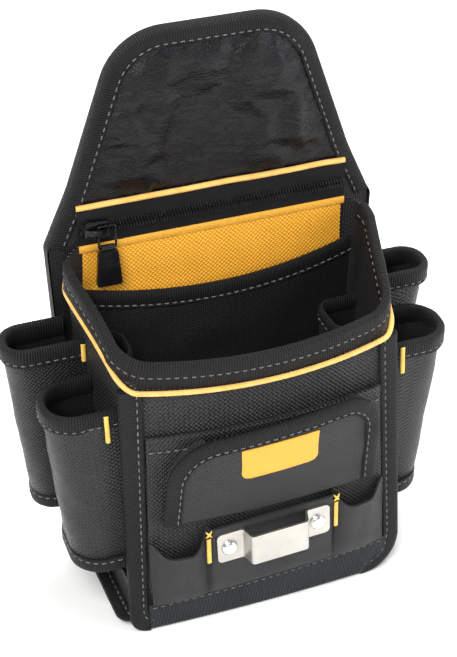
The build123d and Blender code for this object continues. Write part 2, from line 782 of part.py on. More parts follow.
tab_foot_z = link_foot_z - TAB_L
tab_shoulder_z = link_foot_z - TAB_SHOULDER
tongue_w = LINK_W - WIRE_D - 2 * TAB_SIDE_FIT
with BuildPart() as pull_tab:
    with BuildSketch(Plane.XZ.offset(-wire_y - TAB_T / 2)):
        with BuildLine():
            Polyline(
                (link_mid_x - TAB_TOP_W / 2, tab_shoulder_z),
                (link_mid_x - TAB_FOOT_W / 2, tab_foot_z),
                (link_mid_x + TAB_FOOT_W / 2, tab_foot_z),
                (link_mid_x + TAB_TOP_W / 2, tab_shoulder_z),
                close=True,
            )
        make_face()
        fillet(vertices(), TAB_R)
        with BuildLine():
            Polyline(
                (link_mid_x - tongue_w / 2, tab_shoulder_z - TAB_R),
                (link_mid_x + tongue_w / 2, tab_shoulder_z - TAB_R),
                (link_mid_x + tongue_w / 2, link_foot_z),
                (link_mid_x - tongue_w / 2, link_foot_z),
                close=True,
            )
        make_face()
    extrude(amount=TAB_T)
    with BuildSketch(Plane.XZ.offset(-wire_y + TAB_T / 2)):
        with BuildLine():
            Polyline(
                (link_mid_x - TAB_TOP_W / 2 + TAB_RIM, tab_shoulder_z - TAB_RIM - TAB_R),
                (link_mid_x - TAB_FOOT_W / 2 + TAB_RIM, tab_foot_z + TAB_RIM),
                (link_mid_x + TAB_FOOT_W / 2 - TAB_RIM, tab_foot_z + TAB_RIM),
                (link_mid_x + TAB_TOP_W / 2 - TAB_RIM, tab_shoulder_z - TAB_RIM - TAB_R),
                close=True,
            )
        make_face()
        fillet(vertices(), TAB_R / 2)
    extrude(amount=-TAB_RECESS, mode=Mode.SUBTRACT)
    with BuildSketch(Plane.YZ.offset(link_mid_x - tongue_w / 2)):
        with Locations((wire_y, link_foot_z)):
            Circle(TAB_EYE_R)
    extrude(amount=tongue_w)
    with BuildSketch(Plane.YZ.offset(link_mid_x - TAB_FOOT_W)):
        with Locations((wire_y, link_foot_z)):
            Circle(WIRE_D / 2 + TAB_EYE_FIT)
    extrude(amount=2 * TAB_FOOT_W, mode=Mode.SUBTRACT)
save(pull_tab.part, "pull_tab")

# ================================================================ pockets on the back wall
room_inside = bag_hull(-CLOTH - CLEAR)
with BuildPart() as zip_pocket_panel:
    with BuildSketch(Plane.XZ.offset(-ZIP_LAYER_Y)):
        with Locations((0, (ZIP_POCKET_FOOT_Z + ZIP_POCKET_TOP_Z) / 2)):
            Rectangle(2 * ZIP_HALF, ZIP_POCKET_TOP_Z - ZIP_POCKET_FOOT_Z)
    extrude(amount=ZIP_LAYER_T)
    add(room_inside, mode=Mode.INTERSECT)
save(zip_pocket_panel.part, "zip_pocket_panel")


def slip_sheet(front, rear):
    """The slip pocket's bowed sheet, from `front` before its face to `rear` behind it."""
    with BuildPart() as sheet:
        with BuildSketch(Plane.XY.offset(SLIP_FOOT_Z)):
            with BuildLine():
                face_y = SLIP_END_Y - front
                face = ThreePointArc((-SLIP_HALF, face_y), (0, SLIP_MID_Y - front), (SLIP_HALF, face_y))
                back_y = SLIP_END_Y + rear
                back = ThreePointArc((-SLIP_HALF, back_y), (0, SLIP_MID_Y + rear), (SLIP_HALF, back_y))
                Line(face @ 0, back @ 0)
                Line(face @ 1, back @ 1)
            make_face()
        extrude(amount=FORM_TOP_Z)
    return sheet.part


def under_scoop(lift, depth):
    """Everything from `depth` under the slip pocket's scooped edge to `lift` above it."""
    with BuildPart() as region:
        with BuildSketch(Plane.XZ):
            with BuildLine():
                ends_z = SLIP_END_Z + lift
                upper = ThreePointArc((-SLIP_HALF, ends_z), (0, SLIP_MID_Z + lift), (SLIP_HALF, ends_z))
                foot_z = SLIP_END_Z - depth
                lower = ThreePointArc((-SLIP_HALF, foot_z), (0, SLIP_MID_Z - depth), (SLIP_HALF, foot_z))
                Line(upper @ 0, lower @ 0)
                Line(upper @ 1, lower @ 1)
            make_face()
        extrude(amount=REACH, both=True)
    return region.part


slip_cloth = slip_sheet(0, SLIP_T)
slip_tape_sheet = slip_sheet(BOUND_T, SLIP_T + BOUND_T)
slip_tape_slot = slip_sheet(CLEAR / 4, SLIP_T + CLEAR / 4)
slip_under = under_scoop(0, REACH)
slip_edge = under_scoop(BOUND_T, BOUND_W)
slip_slot_under = under_scoop(CLEAR / 4, REACH)
with BuildPart() as slip_pocket:
    add(slip_cloth)
    add(slip_under, mode=Mode.INTERSECT)
    add(room_inside, mode=Mode.INTERSECT)
save(slip_pocket.part, "slip_pocket")

with BuildPart() as slip_slot:
    add(slip_tape_slot)
    add(slip_slot_under, mode=Mode.INTERSECT)

with BuildPart() as slip_binding:
    add(slip_tape_sheet)
    add(slip_edge, mode=Mode.INTERSECT)
    add(room_inside, mode=Mode.INTERSECT)
    add(slip_slot.part, mode=Mode.SUBTRACT)
save(slip_binding.part, "slip_binding")

# ================================================================ tubes and inner pockets
tube_clear = bag_form(CLEAR)


def tube_edges(row, z):
    """Depths of a tube's front and rear seams at a height."""
    if row == "rear":
        return TUBE_SPLIT_Y + TUBE_SEAM_GAP / 2, BACK_Y - TAPE_T - TUBE_BAND_T - 2 * CLEAR
    fin_y = front_depth(CORNER_OUT_LOW, z) + CORNER_FIN_T
    return fin_y + TUBE_BAND_T + 2 * CLEAR, TUBE_SPLIT_Y - TUBE_SEAM_GAP / 2


def tube_form(row, side, grow, low, high):
    """The outside of a tool tube between two heights, pushed out by `grow`."""
    foot_z, rim_z, foot_x, rim_x, corner_r = TUBES[row, side]
    sign = BAG_SIDES[side]
    with BuildPart() as form:
        for z in (low, high):
            front_y_edge, rear_y_edge = tube_edges(row, z)
            share = (z - foot_z) / (rim_z - foot_z)
            face_x = between(foot_x, rim_x, share) + grow
            with BuildSketch(Plane.XY.offset(z)):
                with BuildLine():
                    Polyline(
                        (sign * SEAM_HALF, front_y_edge - grow),
                        (sign * face_x, front_y_edge - grow),
                        (sign * face_x, rear_y_edge + grow),
                        (sign * SEAM_HALF, rear_y_edge + grow),
                        close=True,
                    )
                make_face()
                outer = vertices().group_by(Axis.X)[0 if sign < 0 else -1]
                fillet(outer, corner_r + grow)
        loft(ruled=True)
    return form.part


for (row, side), place in TUBES.items():
    foot_z = place[0]
    rim_z = place[1]
    shell = tube_form(row, side, 0, foot_z, rim_z)
    bore = tube_form(row, side, -TUBE_T, foot_z + TUBE_T, rim_z + TUBE_T)
    with BuildPart() as tube:
        add(shell)
        add(bore, mode=Mode.SUBTRACT)
        add(tube_clear, mode=Mode.SUBTRACT)
    save(tube.part, f"tube_{row}_{side}")

    rim_top = rim_z + TUBE_BAND_T
    band_form = tube_form(row, side, TUBE_BAND_T, rim_z - TUBE_RIM_W, rim_top)
    band_bore = tube_form(row, side, -TUBE_T - TUBE_BAND_T, rim_z - TUBE_RIM_W, rim_top)
    slot_form = tube_form(row, side, CLEAR / 2, rim_z - TUBE_RIM_W, rim_z + CLEAR / 2)
    slot_bore = tube_form(row, side, -TUBE_T - CLEAR / 2, rim_z - TUBE_RIM_W, rim_z + CLEAR / 2)
    with BuildPart() as tube_slot:
        add(slot_form)
        add(slot_bore, mode=Mode.SUBTRACT)
    with BuildPart() as tube_rim:
        add(band_form)
        add(band_bore, mode=Mode.SUBTRACT)
        add(tube_slot.part, mode=Mode.SUBTRACT)
        add(tube_clear, mode=Mode.SUBTRACT)
    save(tube_rim.part, f"tube_rim_{row}_{side}")

    foot_form = tube_form(row, side, TUBE_BAND_T, foot_z - CLEAR, foot_z + TUBE_FOOT_W)
    foot_slot = tube_form(row, side, CLEAR / 2, foot_z - CLEAR, foot_z + TUBE_FOOT_W)
    with BuildPart() as tube_foot:
        add(foot_form)
        add(foot_slot, mode=Mode.SUBTRACT)
        add(tube_clear, mode=Mode.SUBTRACT)
    save(tube_foot.part, f"tube_foot_{row}_{side}")


def inner_form(side, grow, low, high):
    """The outside of an inner pocket between two heights, pushed out by `grow`."""
    front_edge, rear_edge, rim_z = INNER_PLACES[side]
    sign = BAG_SIDES[side]
    with BuildPart() as form:
        with BuildSketch(Plane.XY.offset(low)):
            with BuildLine():
                Polyline(
                    (sign * REACH, front_edge - grow),
                    (sign * (INNER_REACH_X - grow), front_edge - grow),
                    (sign * (INNER_REACH_X - grow), rear_edge + grow),
                    (sign * REACH, rear_edge + grow),
                    close=True,
                )
            make_face()
            fillet(vertices().group_by(Axis.X)[-1 if sign < 0 else 0], INNER_R + grow)
        extrude(amount=high - low)
    return form.part


for side in BAG_SIDES:
    rim_z = INNER_PLACES[side][2]
    shell = inner_form(side, 0, INNER_FOOT_Z, rim_z)
    bore = inner_form(side, -INNER_T, INNER_FOOT_Z + INNER_T, rim_z + INNER_T)
    with BuildPart() as inner_pocket:
        add(shell)
        add(bore, mode=Mode.SUBTRACT)
        add(room_inside, mode=Mode.INTERSECT)
    save(inner_pocket.part, f"inner_pocket_{side}")

    band_form = inner_form(side, BOUND_T, rim_z - TUBE_FOOT_W, rim_z + BOUND_T)
    band_bore = inner_form(side, -INNER_T - BOUND_T, rim_z - TUBE_FOOT_W, rim_z + BOUND_T)
    slot_form = inner_form(side, CLEAR / 2, rim_z - TUBE_FOOT_W, rim_z + CLEAR / 2)
    slot_bore = inner_form(side, -INNER_T - CLEAR / 2, rim_z - TUBE_FOOT_W, rim_z + CLEAR / 2)
    with BuildPart() as inner_slot:
        add(slot_form)
        add(slot_bore, mode=Mode.SUBTRACT)
    with BuildPart() as inner_rim:
        add(band_form)
        add(band_bore, mode=Mode.SUBTRACT)
        add(inner_slot.part, mode=Mode.SUBTRACT)
        add(room_inside, mode=Mode.INTERSECT)
    save(inner_rim.part, f"inner_rim_{side}")

# ================================================================ pockets on the front
corner_in = {
    z: between(CORNER_IN_LOW, CORNER_IN_TOP, z / RIM_CORNER_Z) - CLEAR for z in (WIDE_FOOT_Z, WIDE_TOP_Z)
}
wide_room = front_sheet(
    WIDE_FOOT_Z,
    WIDE_TOP_Z,
    (WIDE_STAND_FOOT + WIDE_T, WIDE_STAND_TOP + WIDE_T),
    (WIDE_STAND_FOOT, WIDE_STAND_TOP),
)
with BuildPart() as wide_pocket:
    add(wide_room)
    with BuildSketch(Plane.XZ):
        with BuildLine():
            Polyline(
                (-corner_in[WIDE_FOOT_Z], WIDE_FOOT_Z),
                (corner_in[WIDE_FOOT_Z], WIDE_FOOT_Z),
                (corner_in[WIDE_TOP_Z], WIDE_TOP_Z),
                (-corner_in[WIDE_TOP_Z], WIDE_TOP_Z),
                close=True,
            )
        make_face()
    extrude(amount=REACH, both=True, mode=Mode.INTERSECT)
save(wide_pocket.part, "wide_pocket")


def wide_stand(z):
    """How far the wide pocket's outside stands before the front panel at a height."""
    share = (z - WIDE_FOOT_Z) / (WIDE_TOP_Z - WIDE_FOOT_Z)
    return between(WIDE_STAND_FOOT, WIDE_STAND_TOP, share) + WIDE_T


def arch_outline(inset):
    """The arched pocket's outline from the front, drawn in by `inset`."""
    with BuildSketch(Plane.XZ) as outline:
        with BuildLine():
            Polyline(
                (ARCH_LEFT_X, ARCH_FOOT_Z),
                (ARCH_RIGHT_X, ARCH_FOOT_Z),
                (ARCH_RIGHT_X, ARCH_RIGHT_Z),
                (ARCH_LEFT_X + ARCH_TAPER, ARCH_LEFT_Z),
                close=True,
            )
        make_face()
        fillet(vertices().sort_by_distance((ARCH_RIGHT_X, ARCH_RIGHT_Z, 0))[0], ARCH_R_RIGHT)
        fillet(vertices().sort_by_distance((ARCH_LEFT_X + ARCH_TAPER, ARCH_LEFT_Z, 0))[0], ARCH_R_LEFT)
        if inset:
            offset(amount=-inset)
    return outline.sketch


def arch_layer(inset, outer, inner):
    """Part of the arched pocket between two pairs of stand-offs, inside its drawn-in outline."""
    sheet = front_sheet(ARCH_FOOT_Z - CLEAR, ARCH_RIGHT_Z + CLEAR, outer, inner)
    outline = arch_outline(inset)
    with BuildPart() as layer:
        add(sheet)
        with BuildSketch(Plane.XZ):
            add(outline)
        extrude(amount=REACH, both=True, mode=Mode.INTERSECT)
    return layer.part


arch_rear = (wide_stand(ARCH_FOOT_Z) + CLEAR, wide_stand(WIDE_TOP_Z) + CLEAR)
arch_face = (ARCH_STAND_FOOT, ARCH_STAND_TOP)
arch_lining = (ARCH_STAND_FOOT - ARCH_T, ARCH_STAND_TOP - ARCH_T)
arch_body = arch_layer(TAPE_T, arch_face, arch_rear)
arch_hollow = arch_layer(TAPE_T + ARCH_T, arch_lining, (-CLOTH, -CLOTH))
with BuildPart() as arch_pocket:
    add(arch_body)
    add(arch_hollow, mode=Mode.SUBTRACT)
    with BuildSketch(Plane.XZ):
        with BuildLine():
            Polyline(
                (-REACH, ARCH_LEFT_Z - ARCH_R_RIGHT),
                (REACH, ARCH_RIGHT_Z - ARCH_R_RIGHT),
                (REACH, REACH),
                (-REACH, REACH),
                close=True,
            )
        make_face()
    extrude(amount=REACH, both=True, mode=Mode.SUBTRACT)
    add(arch_layer(TAPE_T, arch_face, arch_lining))
save(arch_pocket.part, "arch_pocket")

tape_face = (ARCH_STAND_FOOT + TAPE_T, ARCH_STAND_TOP + TAPE_T)
tape_rear = (ARCH_STAND_FOOT + CLEAR, ARCH_STAND_TOP + CLEAR)
wrap_face = (arch_lining[0] - CLEAR, arch_lining[1] - CLEAR)
wrap_rear = (wrap_face[0] - TAPE_T, wrap_face[1] - TAPE_T)
arch_tape = arch_layer(0, tape_face, arch_rear)
arch_tape_slot = arch_layer(TAPE_T - CLEAR, tape_rear, (-CLOTH, -CLOTH))
arch_wrap = arch_layer(0, wrap_face, wrap_rear)
arch_mouth = arch_layer(0, wrap_rear, (-CLOTH, -CLOTH))
taper_share = (TAPE_W + CLEAR) / (ARCH_LEFT_Z - ARCH_FOOT_Z)
arch_window = arch_layer(TAPE_W, (ARCH_CUT, ARCH_CUT), (-CLOTH, -CLOTH))
with BuildPart() as mouth_side:
    with BuildSketch(Plane.XZ):
        with BuildLine():
            Polyline(
                (-REACH, ARCH_LEFT_Z - ARCH_R_RIGHT + CLEAR),
                (REACH, ARCH_RIGHT_Z - ARCH_R_RIGHT + CLEAR),
                (REACH, REACH),
                (-REACH, REACH),
                close=True,
            )
        make_face()
    extrude(amount=REACH, both=True)
with BuildPart() as mouth_gap:
    add(mouth_side.part)
    add(arch_mouth, mode=Mode.INTERSECT)
with BuildPart() as wrap_top:
    add(mouth_side.part)
    add(arch_wrap, mode=Mode.INTERSECT)
with BuildPart() as arch_binding:
    add(arch_tape)
    add(arch_tape_slot, mode=Mode.SUBTRACT)
    add(mouth_gap.part, mode=Mode.SUBTRACT)
    add(wrap_top.part)
    add(arch_window, mode=Mode.SUBTRACT)
    with BuildSketch(Plane.XZ):
        with BuildLine():
            Polyline(
                (ARCH_LEFT_X + TAPE_W, ARCH_FOOT_Z),
                (ARCH_LEFT_X + TAPE_W, -ARCH_FOOT_Z),
                (ARCH_RIGHT_X - TAPE_W, -ARCH_FOOT_Z),
                (ARCH_RIGHT_X - TAPE_W, ARCH_FOOT_Z + TAPE_W + CLEAR),
                (ARCH_LEFT_X + taper_share * ARCH_TAPER + TAPE_W, ARCH_FOOT_Z + TAPE_W + CLEAR),
                close=True,
            )
        make_face()
    extrude(amount=REACH, both=True, mode=Mode.SUBTRACT)
save(arch_binding.part, "arch_binding")

label_sheet = front_sheet(
    ARCH_FOOT_Z - CLEAR,
    ARCH_RIGHT_Z + CLEAR,
    (ARCH_STAND_FOOT + CLEAR + LABEL_T, ARCH_STAND_TOP + CLEAR + LABEL_T),
    (ARCH_STAND_FOOT + CLEAR, ARCH_STAND_TOP + CLEAR),
)
with BuildPart() as label:
    add(label_sheet)
    with BuildSketch(Plane.XZ):
        with Locations((LABEL_X, LABEL_Z)):
            Rectangle(LABEL_W, LABEL_H)
        fillet(vertices().group_by(Axis.Y)[0], LABEL_R)
    extrude(amount=REACH, both=True, mode=Mode.INTERSECT)
save(label.part, "label")


def strip_foot(x):
    """Height of the strip's foot, which meets the base shoe's top line."""
    share = (x + SHOE_STEP_X) / (2 * SHOE_STEP_X)
    return between(SHOE_FRONT_Z_LEFT, SHOE_FRONT_Z_RIGHT, share) + CLEAR


def strip_top(x):
    """Height of the strip's top line."""
    return STRIP_TOP_Z + STRIP_RISE * x


def strip_curve(z, stand_edge, stand_pleat, face_y):
    """The pleated strip's face at a height: flat in the middle, bowed at both ends."""
    sewn = STRIP_HALF - STRIP_SEWN
    tack = STRIP_TACK_X
    mid_pleat = (sewn + tack) / 2
    points = [
        (-sewn, front_depth(sewn, z) - stand_edge),
        (-mid_pleat, front_depth(mid_pleat, z) - stand_pleat),
        (-tack, front_depth(tack, z) - stand_edge),
        (-tack + STRIP_TUCK, face_y),
        (tack - STRIP_TUCK, face_y),
        (tack, front_depth(tack, z) - stand_edge),
        (mid_pleat, front_depth(mid_pleat, z) - stand_pleat),
        (sewn, front_depth(sewn, z) - stand_edge),
    ]
    left = Spline(*points[:3])
    Line(left @ 1, points[3])
    Line(points[3], points[4])
    Line(points[4], points[5])
    right = Spline(*points[5:])
    return left @ 0, right @ 1


def strip_body(thick):
    """The pleated strip's solid form, from its face back to `thick` behind it."""
    with BuildPart() as body:
        for z, pleat in ((strip_foot(-REACH), STRIP_PLEAT_FOOT), (strip_top(REACH), STRIP_PLEAT_TOP)):
            with BuildSketch(Plane.XY.offset(z)):
                with BuildLine():
                    face = strip_curve(z, STRIP_EDGE_STAND, pleat, STRIP_FACE_Y)
                    rear = strip_curve(z, STRIP_EDGE_STAND - thick, pleat - thick, STRIP_FACE_Y + thick)
                    Line(face[0], rear[0])
                    Line(face[1], rear[1])
                make_face()
        loft(ruled=True)
    return body.part


strip_cloth = strip_body(STRIP_T)
with BuildPart() as strip_pockets:
    add(strip_cloth)
    with BuildSketch(Plane.XZ):
        with BuildLine():
            Polyline(
                (-REACH, strip_foot(-REACH)),
                (REACH, strip_foot(REACH)),
                (REACH, strip_top(REACH)),
                (-REACH, strip_top(-REACH)),
                close=True,
            )
        make_face()
    extrude(amount=REACH, both=True, mode=Mode.INTERSECT)
    for side, sign in BAG_SIDES.items():
        mouth_z = strip_top(sign * SCOOP_X) + STRIP_SEWN
        with BuildSketch(Plane.XZ):
            with BuildLine():
                rim = Spline(
                    (sign * (SCOOP_X - SCOOP_HALF), mouth_z),
                    (sign * SCOOP_X, SCOOP_Z[side]),
                    (sign * (SCOOP_X + SCOOP_HALF), mouth_z),
                    tangents=((0, -1), (0, 1)),
                )
                Line(rim @ 0, rim @ 1)
            make_face()
        extrude(amount=REACH, both=True, mode=Mode.SUBTRACT)
    with BuildSketch(Plane.XZ):
        with Locations(*RIVET_PLACES):
            Circle(RIVET_SHANK_R + RIVET_FIT)
    extrude(amount=REACH, both=True, mode=Mode.SUBTRACT)
save(strip_pockets.part, "strip_pockets")

# ================================================================ tape clip and rivets
clip_rear_y = STRIP_FACE_Y - CLEAR
clip_mid_y = clip_rear_y - CLIP_T / 2
clip_plane = Plane(origin=(0, 0, CLIP_Z), x_dir=(CLIP_COS, 0, CLIP_SIN), z_dir=(-CLIP_SIN, 0, CLIP_COS))
with BuildPart() as tape_clip:
    with BuildSketch(clip_plane.offset(-CLIP_H / 2)):
        with BuildLine():
            spine = FilletPolyline(
                (CLIP_LEFT_X, clip_mid_y),
                (CLIP_RISE_LEFT_X - CLIP_SLOPE, clip_mid_y),
                (CLIP_RISE_LEFT_X, clip_mid_y - CLIP_RISE),
                (CLIP_RISE_RIGHT_X, clip_mid_y - CLIP_RISE),
                (CLIP_RISE_RIGHT_X + CLIP_SLOPE, clip_mid_y),
                (CLIP_RIGHT_X, clip_mid_y),
                radius=CLIP_BEND_R,
            )
        trace(line_width=CLIP_T)
    extrude(amount=CLIP_H)
    ends = edges().filter_by(Axis.Y).sort_by(Axis.X)
    fillet(ends[:2] + ends[-2:], CLIP_CORNER_R)
    with BuildSketch(Plane.XZ.offset(-clip_rear_y)):
        with Locations(*RIVET_PLACES):
            Circle(RIVET_SHANK_R + RIVET_FIT)
    extrude(amount=CLIP_T, mode=Mode.SUBTRACT)
save(tape_clip.part, "tape_clip")

rivet_face_y = clip_rear_y - CLIP_T - RIVET_FIT
rivet_seat_y = STRIP_FACE_Y + STRIP_T + RIVET_FIT
rivet_end_y = rivet_seat_y + RIVET_BACK_T
with BuildPart() as rivets:
    with BuildSketch(Plane.XZ.offset(-rivet_face_y)):
        with Locations(*RIVET_PLACES):
            Circle(RIVET_HEAD_R)
    extrude(amount=RIVET_HEAD_T)
    fillet(edges().group_by(Axis.Y)[0], RIVET_DOME_R)
    with BuildSketch(Plane.XZ.offset(-rivet_end_y)):
        with Locations(*RIVET_PLACES):
            Circle(RIVET_SHANK_R)
    extrude(amount=rivet_end_y - rivet_face_y)
    with BuildSketch(Plane.XZ.offset(-rivet_end_y)):
        with Locations(*RIVET_PLACES):
            Circle(RIVET_BACK_R)
    extrude(amount=RIVET_BACK_T)
save(rivets.part, "rivets")

# ================================================================ bar tacks
tack_stand = STRIP_EDGE_STAND + TACK_LIFT
tack_face = tack_stand + TACK_T
tack_sheet = front_sheet(0, FORM_TOP_Z, (tack_face, tack_face), (tack_stand, tack_stand))
tack_x = CORNER_OUT_LOW + TACK_W


def side_tack(row, side, low, high):
    """A thread tack before the front seam of a tube, between two heights."""
    sign = BAG_SIDES[side]
    with BuildPart() as tack:
        for z in (low, high):
            rear_y = tube_edges(row, z)[0] - TUBE_BAND_T - CLEAR
            with BuildSketch(Plane.XY.offset(z)):
                with Locations((sign * tack_x, rear_y - TACK_T / 2)):
                    Rectangle(TACK_W, TACK_T)
        loft(ruled=True)
    return tack.part


with BuildPart() as bar_tacks:
    add(tack_sheet)
    with BuildSketch(Plane.XZ):
        for x in (-STRIP_TACK_X, STRIP_TACK_X):
            with Locations((x, strip_top(x) - TACK_H / 2)):
                Rectangle(TACK_W, TACK_H)
    extrude(amount=REACH, both=True, mode=Mode.INTERSECT)
    for (row, side), place in TUBES.items():
        tack_h = TACK_SIDE_H if row == "front" else TUBE_RIM_W
        add(side_tack(row, side, place[1] - tack_h, place[1]))
save(bar_tacks.part, "bar_tacks")

# ================================================================ belt tunnel
tunnel_y = PANEL_BACK_Y + CLEAR + TUNNEL_T / 2
with BuildPart() as belt_tunnel:
    with BuildSketch(Plane.YZ.offset(-TUNNEL_HALF)):
        with BuildLine():
            strap = FilletPolyline(
                (tunnel_y, TUNNEL_TOP_Z),
                (tunnel_y, TUNNEL_TOP_Z - TUNNEL_HEM),
                (tunnel_y + TUNNEL_GAP, TUNNEL_TOP_Z - TUNNEL_HEM - TUNNEL_GAP),
                (tunnel_y + TUNNEL_GAP, TUNNEL_FOOT_Z + TUNNEL_HEM + TUNNEL_GAP),
                (tunnel_y, TUNNEL_FOOT_Z + TUNNEL_HEM),
                (tunnel_y, TUNNEL_FOOT_Z),
                radius=TUNNEL_BEND_R,
            )
        trace(line_width=TUNNEL_T)
    extrude(amount=2 * TUNNEL_HALF)
save(belt_tunnel.part, "belt_tunnel")
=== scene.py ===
"""Dresses the tool pouch: cloth, bindings, stitches, zipper and steel clip in a plain studio.

Sizes are millimetres until a mesh is written. +Z is up, +X to the right seen from the front.
"""
import logging
import math
from dataclasses import dataclass, field
from enum import Enum
from typing import Sequence

import bmesh
import bpy
import numpy as np
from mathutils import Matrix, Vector


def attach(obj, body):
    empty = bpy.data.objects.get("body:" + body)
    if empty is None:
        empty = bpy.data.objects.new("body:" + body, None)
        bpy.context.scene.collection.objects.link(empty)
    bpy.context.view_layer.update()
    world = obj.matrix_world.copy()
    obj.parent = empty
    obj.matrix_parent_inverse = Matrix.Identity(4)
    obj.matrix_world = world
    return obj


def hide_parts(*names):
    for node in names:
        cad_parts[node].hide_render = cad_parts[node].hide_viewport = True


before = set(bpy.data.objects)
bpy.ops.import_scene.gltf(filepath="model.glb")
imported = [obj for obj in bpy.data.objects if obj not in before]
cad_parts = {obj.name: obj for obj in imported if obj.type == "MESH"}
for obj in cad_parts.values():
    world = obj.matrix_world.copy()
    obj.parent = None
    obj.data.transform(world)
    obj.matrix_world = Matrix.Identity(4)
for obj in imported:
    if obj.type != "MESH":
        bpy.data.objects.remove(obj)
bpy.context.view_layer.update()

MM = 0.001
PICTURE = (457, 657)
Array = np.ndarray
Socket = bpy.types.NodeSocket
Pair = tuple[float, float]
Triple = tuple[float, float, float]
UP, AHEAD = np.array([0.0, 0.0, 1.0]), np.array([0.0, -1.0, 0.0])
DOWN, BEHIND = np.array([0.0, 0.0, -1.0]), np.array([0.0, 1.0, 0.0])
log = logging.getLogger("pouch")


class Side(Enum):
    """Left and right as seen from the front."""

    LEFT = -1
    RIGHT = 1

    @property
    def word(self) -> str:
        """The side's name in a node."""
        return self.name.lower()


# Each tube: foot height, rim height, foot reach, rim reach and corner radius.
TUBES = {
    ("front", Side.LEFT): (43.0, 143.0, 107.5, 115.5, 17.0),
    ("front", Side.RIGHT): (46.0, 144.0, 100.0, 117.0, 17.0),
    ("rear", Side.LEFT): (53.0, 163.0, 117.0, 126.5, 12.5),
    ("rear", Side.RIGHT): (55.0, 163.0, 105.0, 123.0, 12.5),
}
# Length of the bar tacks on each row of tubes.
TUBE_TACKS = {"front": 16.0, "rear": 11.0}
# Where the two heights of the base's front edge are measured.
SHOE_ENDS_X = (-74.0, 74.0)


# ------------------------------------------------------------------ helpers
def lerp(low, high, share):
    """The value that lies `share` of the way from low to high."""
    return low + (high - low) * share


def shares(count: int) -> Array:
    """Even shares from nought to one, as a column."""
    return np.linspace(0.0, 1.0, count)[:, None]


def bowed(middle, reach, rise, x):
    """A value that grows from `middle` along an arc, by `rise` at `reach` to either side."""
    radius = (reach**2 + rise**2) / (2 * rise)
    return middle + radius - np.sqrt(radius**2 - np.square(x))


def join(*parts) -> Array:
    """Coordinates set side by side, each one spread to the shape of them all."""
    return np.stack(np.broadcast_arrays(*parts), axis=-1)


def facing(direction: Array, points: Array) -> Array:
    """The same direction at every point."""
    return np.broadcast_to(direction, points.shape)


def unit(vectors: Array) -> Array:
    """Vectors scaled to length one."""
    return vectors / np.maximum(np.linalg.norm(vectors, axis=-1, keepdims=True), 1e-9)


def travel(points: Array) -> Array:
    """Distance along a polyline up to each of its points."""
    return np.concatenate([[0.0], np.cumsum(np.linalg.norm(np.diff(points, axis=0), axis=1))])


def resample(points: Array, count: int) -> Array:
    """Evenly spaced points along a polyline.

    Args:
        points: The polyline, one row per point.
        count: How many points to give back.

    Returns:
        The new points.
    """
    run = travel(points)
    stops = np.linspace(0.0, run[-1], count)
    return np.stack([np.interp(stops, run, points[:, k]) for k in range(points.shape[1])], axis=1)


def rounded(corners: Sequence[Triple], closed: bool = False, turns: int = 9) -> Array:
    """A flat polyline with rounded corners.

    Args:
        corners: Each corner's two coordinates and its radius.
        closed: Whether the last corner joins the first.
        turns: Points on each rounding.

    Returns:
        The polyline's points, with the same count for the same corners.
    """
    spots = np.array([c[:2] for c in corners], float)
    out: list[Array] = []
    for index, (_, _, radius) in enumerate(corners):
        here = spots[index]
        if not closed and index in (0, len(corners) - 1):
            out.append(here[None])
            continue
        back = unit(spots[index - 1] - here)
        ahead = unit(spots[(index + 1) % len(corners)] - here)
        half = 0.5 * math.acos(float(np.clip(back @ ahead, -1.0, 1.0)))
        reach = radius / math.tan(half)
        start, end = here + back * reach, here + ahead * reach
        swing = math.pi - 2.0 * half
        pull = 4.0 / 3.0 * math.tan(0.25 * swing) / math.tan(0.5 * swing)
        grips = (start, lerp(start, here, pull), lerp(end, here, pull), end)
        t = shares(turns)
        weights = ((1 - t) ** 3, 3 * t * (1 - t) ** 2, 3 * t * t * (1 - t), t**3)
        out.append(sum(w * g for w, g in zip(weights, grips)))
    return np.concatenate(out)


def ripple(u: Array, v: Array, scale: float, seed: int) -> Array:
    """A smooth, repeatable field of hollows and rises between about -1 and 1.

    Args:
        u: First coordinate, in millimetres.
        v: Second coordinate.
        scale: Typical distance between rises.
        seed: Which field.

    Returns:
        The field at every place.
    """
    dice = np.random.default_rng(seed)
    total = np.zeros(np.broadcast(u, v).shape)
    for _ in range(7):
        heading = dice.uniform(0.0, math.tau)
        pace = dice.uniform(0.6, 1.7) * math.tau / scale
        total = total + np.sin(
            (u * math.cos(heading) + v * math.sin(heading)) * pace + dice.uniform(0.0, math.tau)
        )
    return total / 3.2


def turned(tangents: Array, normals: Array) -> Array:
    """Unit vectors square to both the tangents and the normals."""
    return unit(np.cross(tangents, normals))


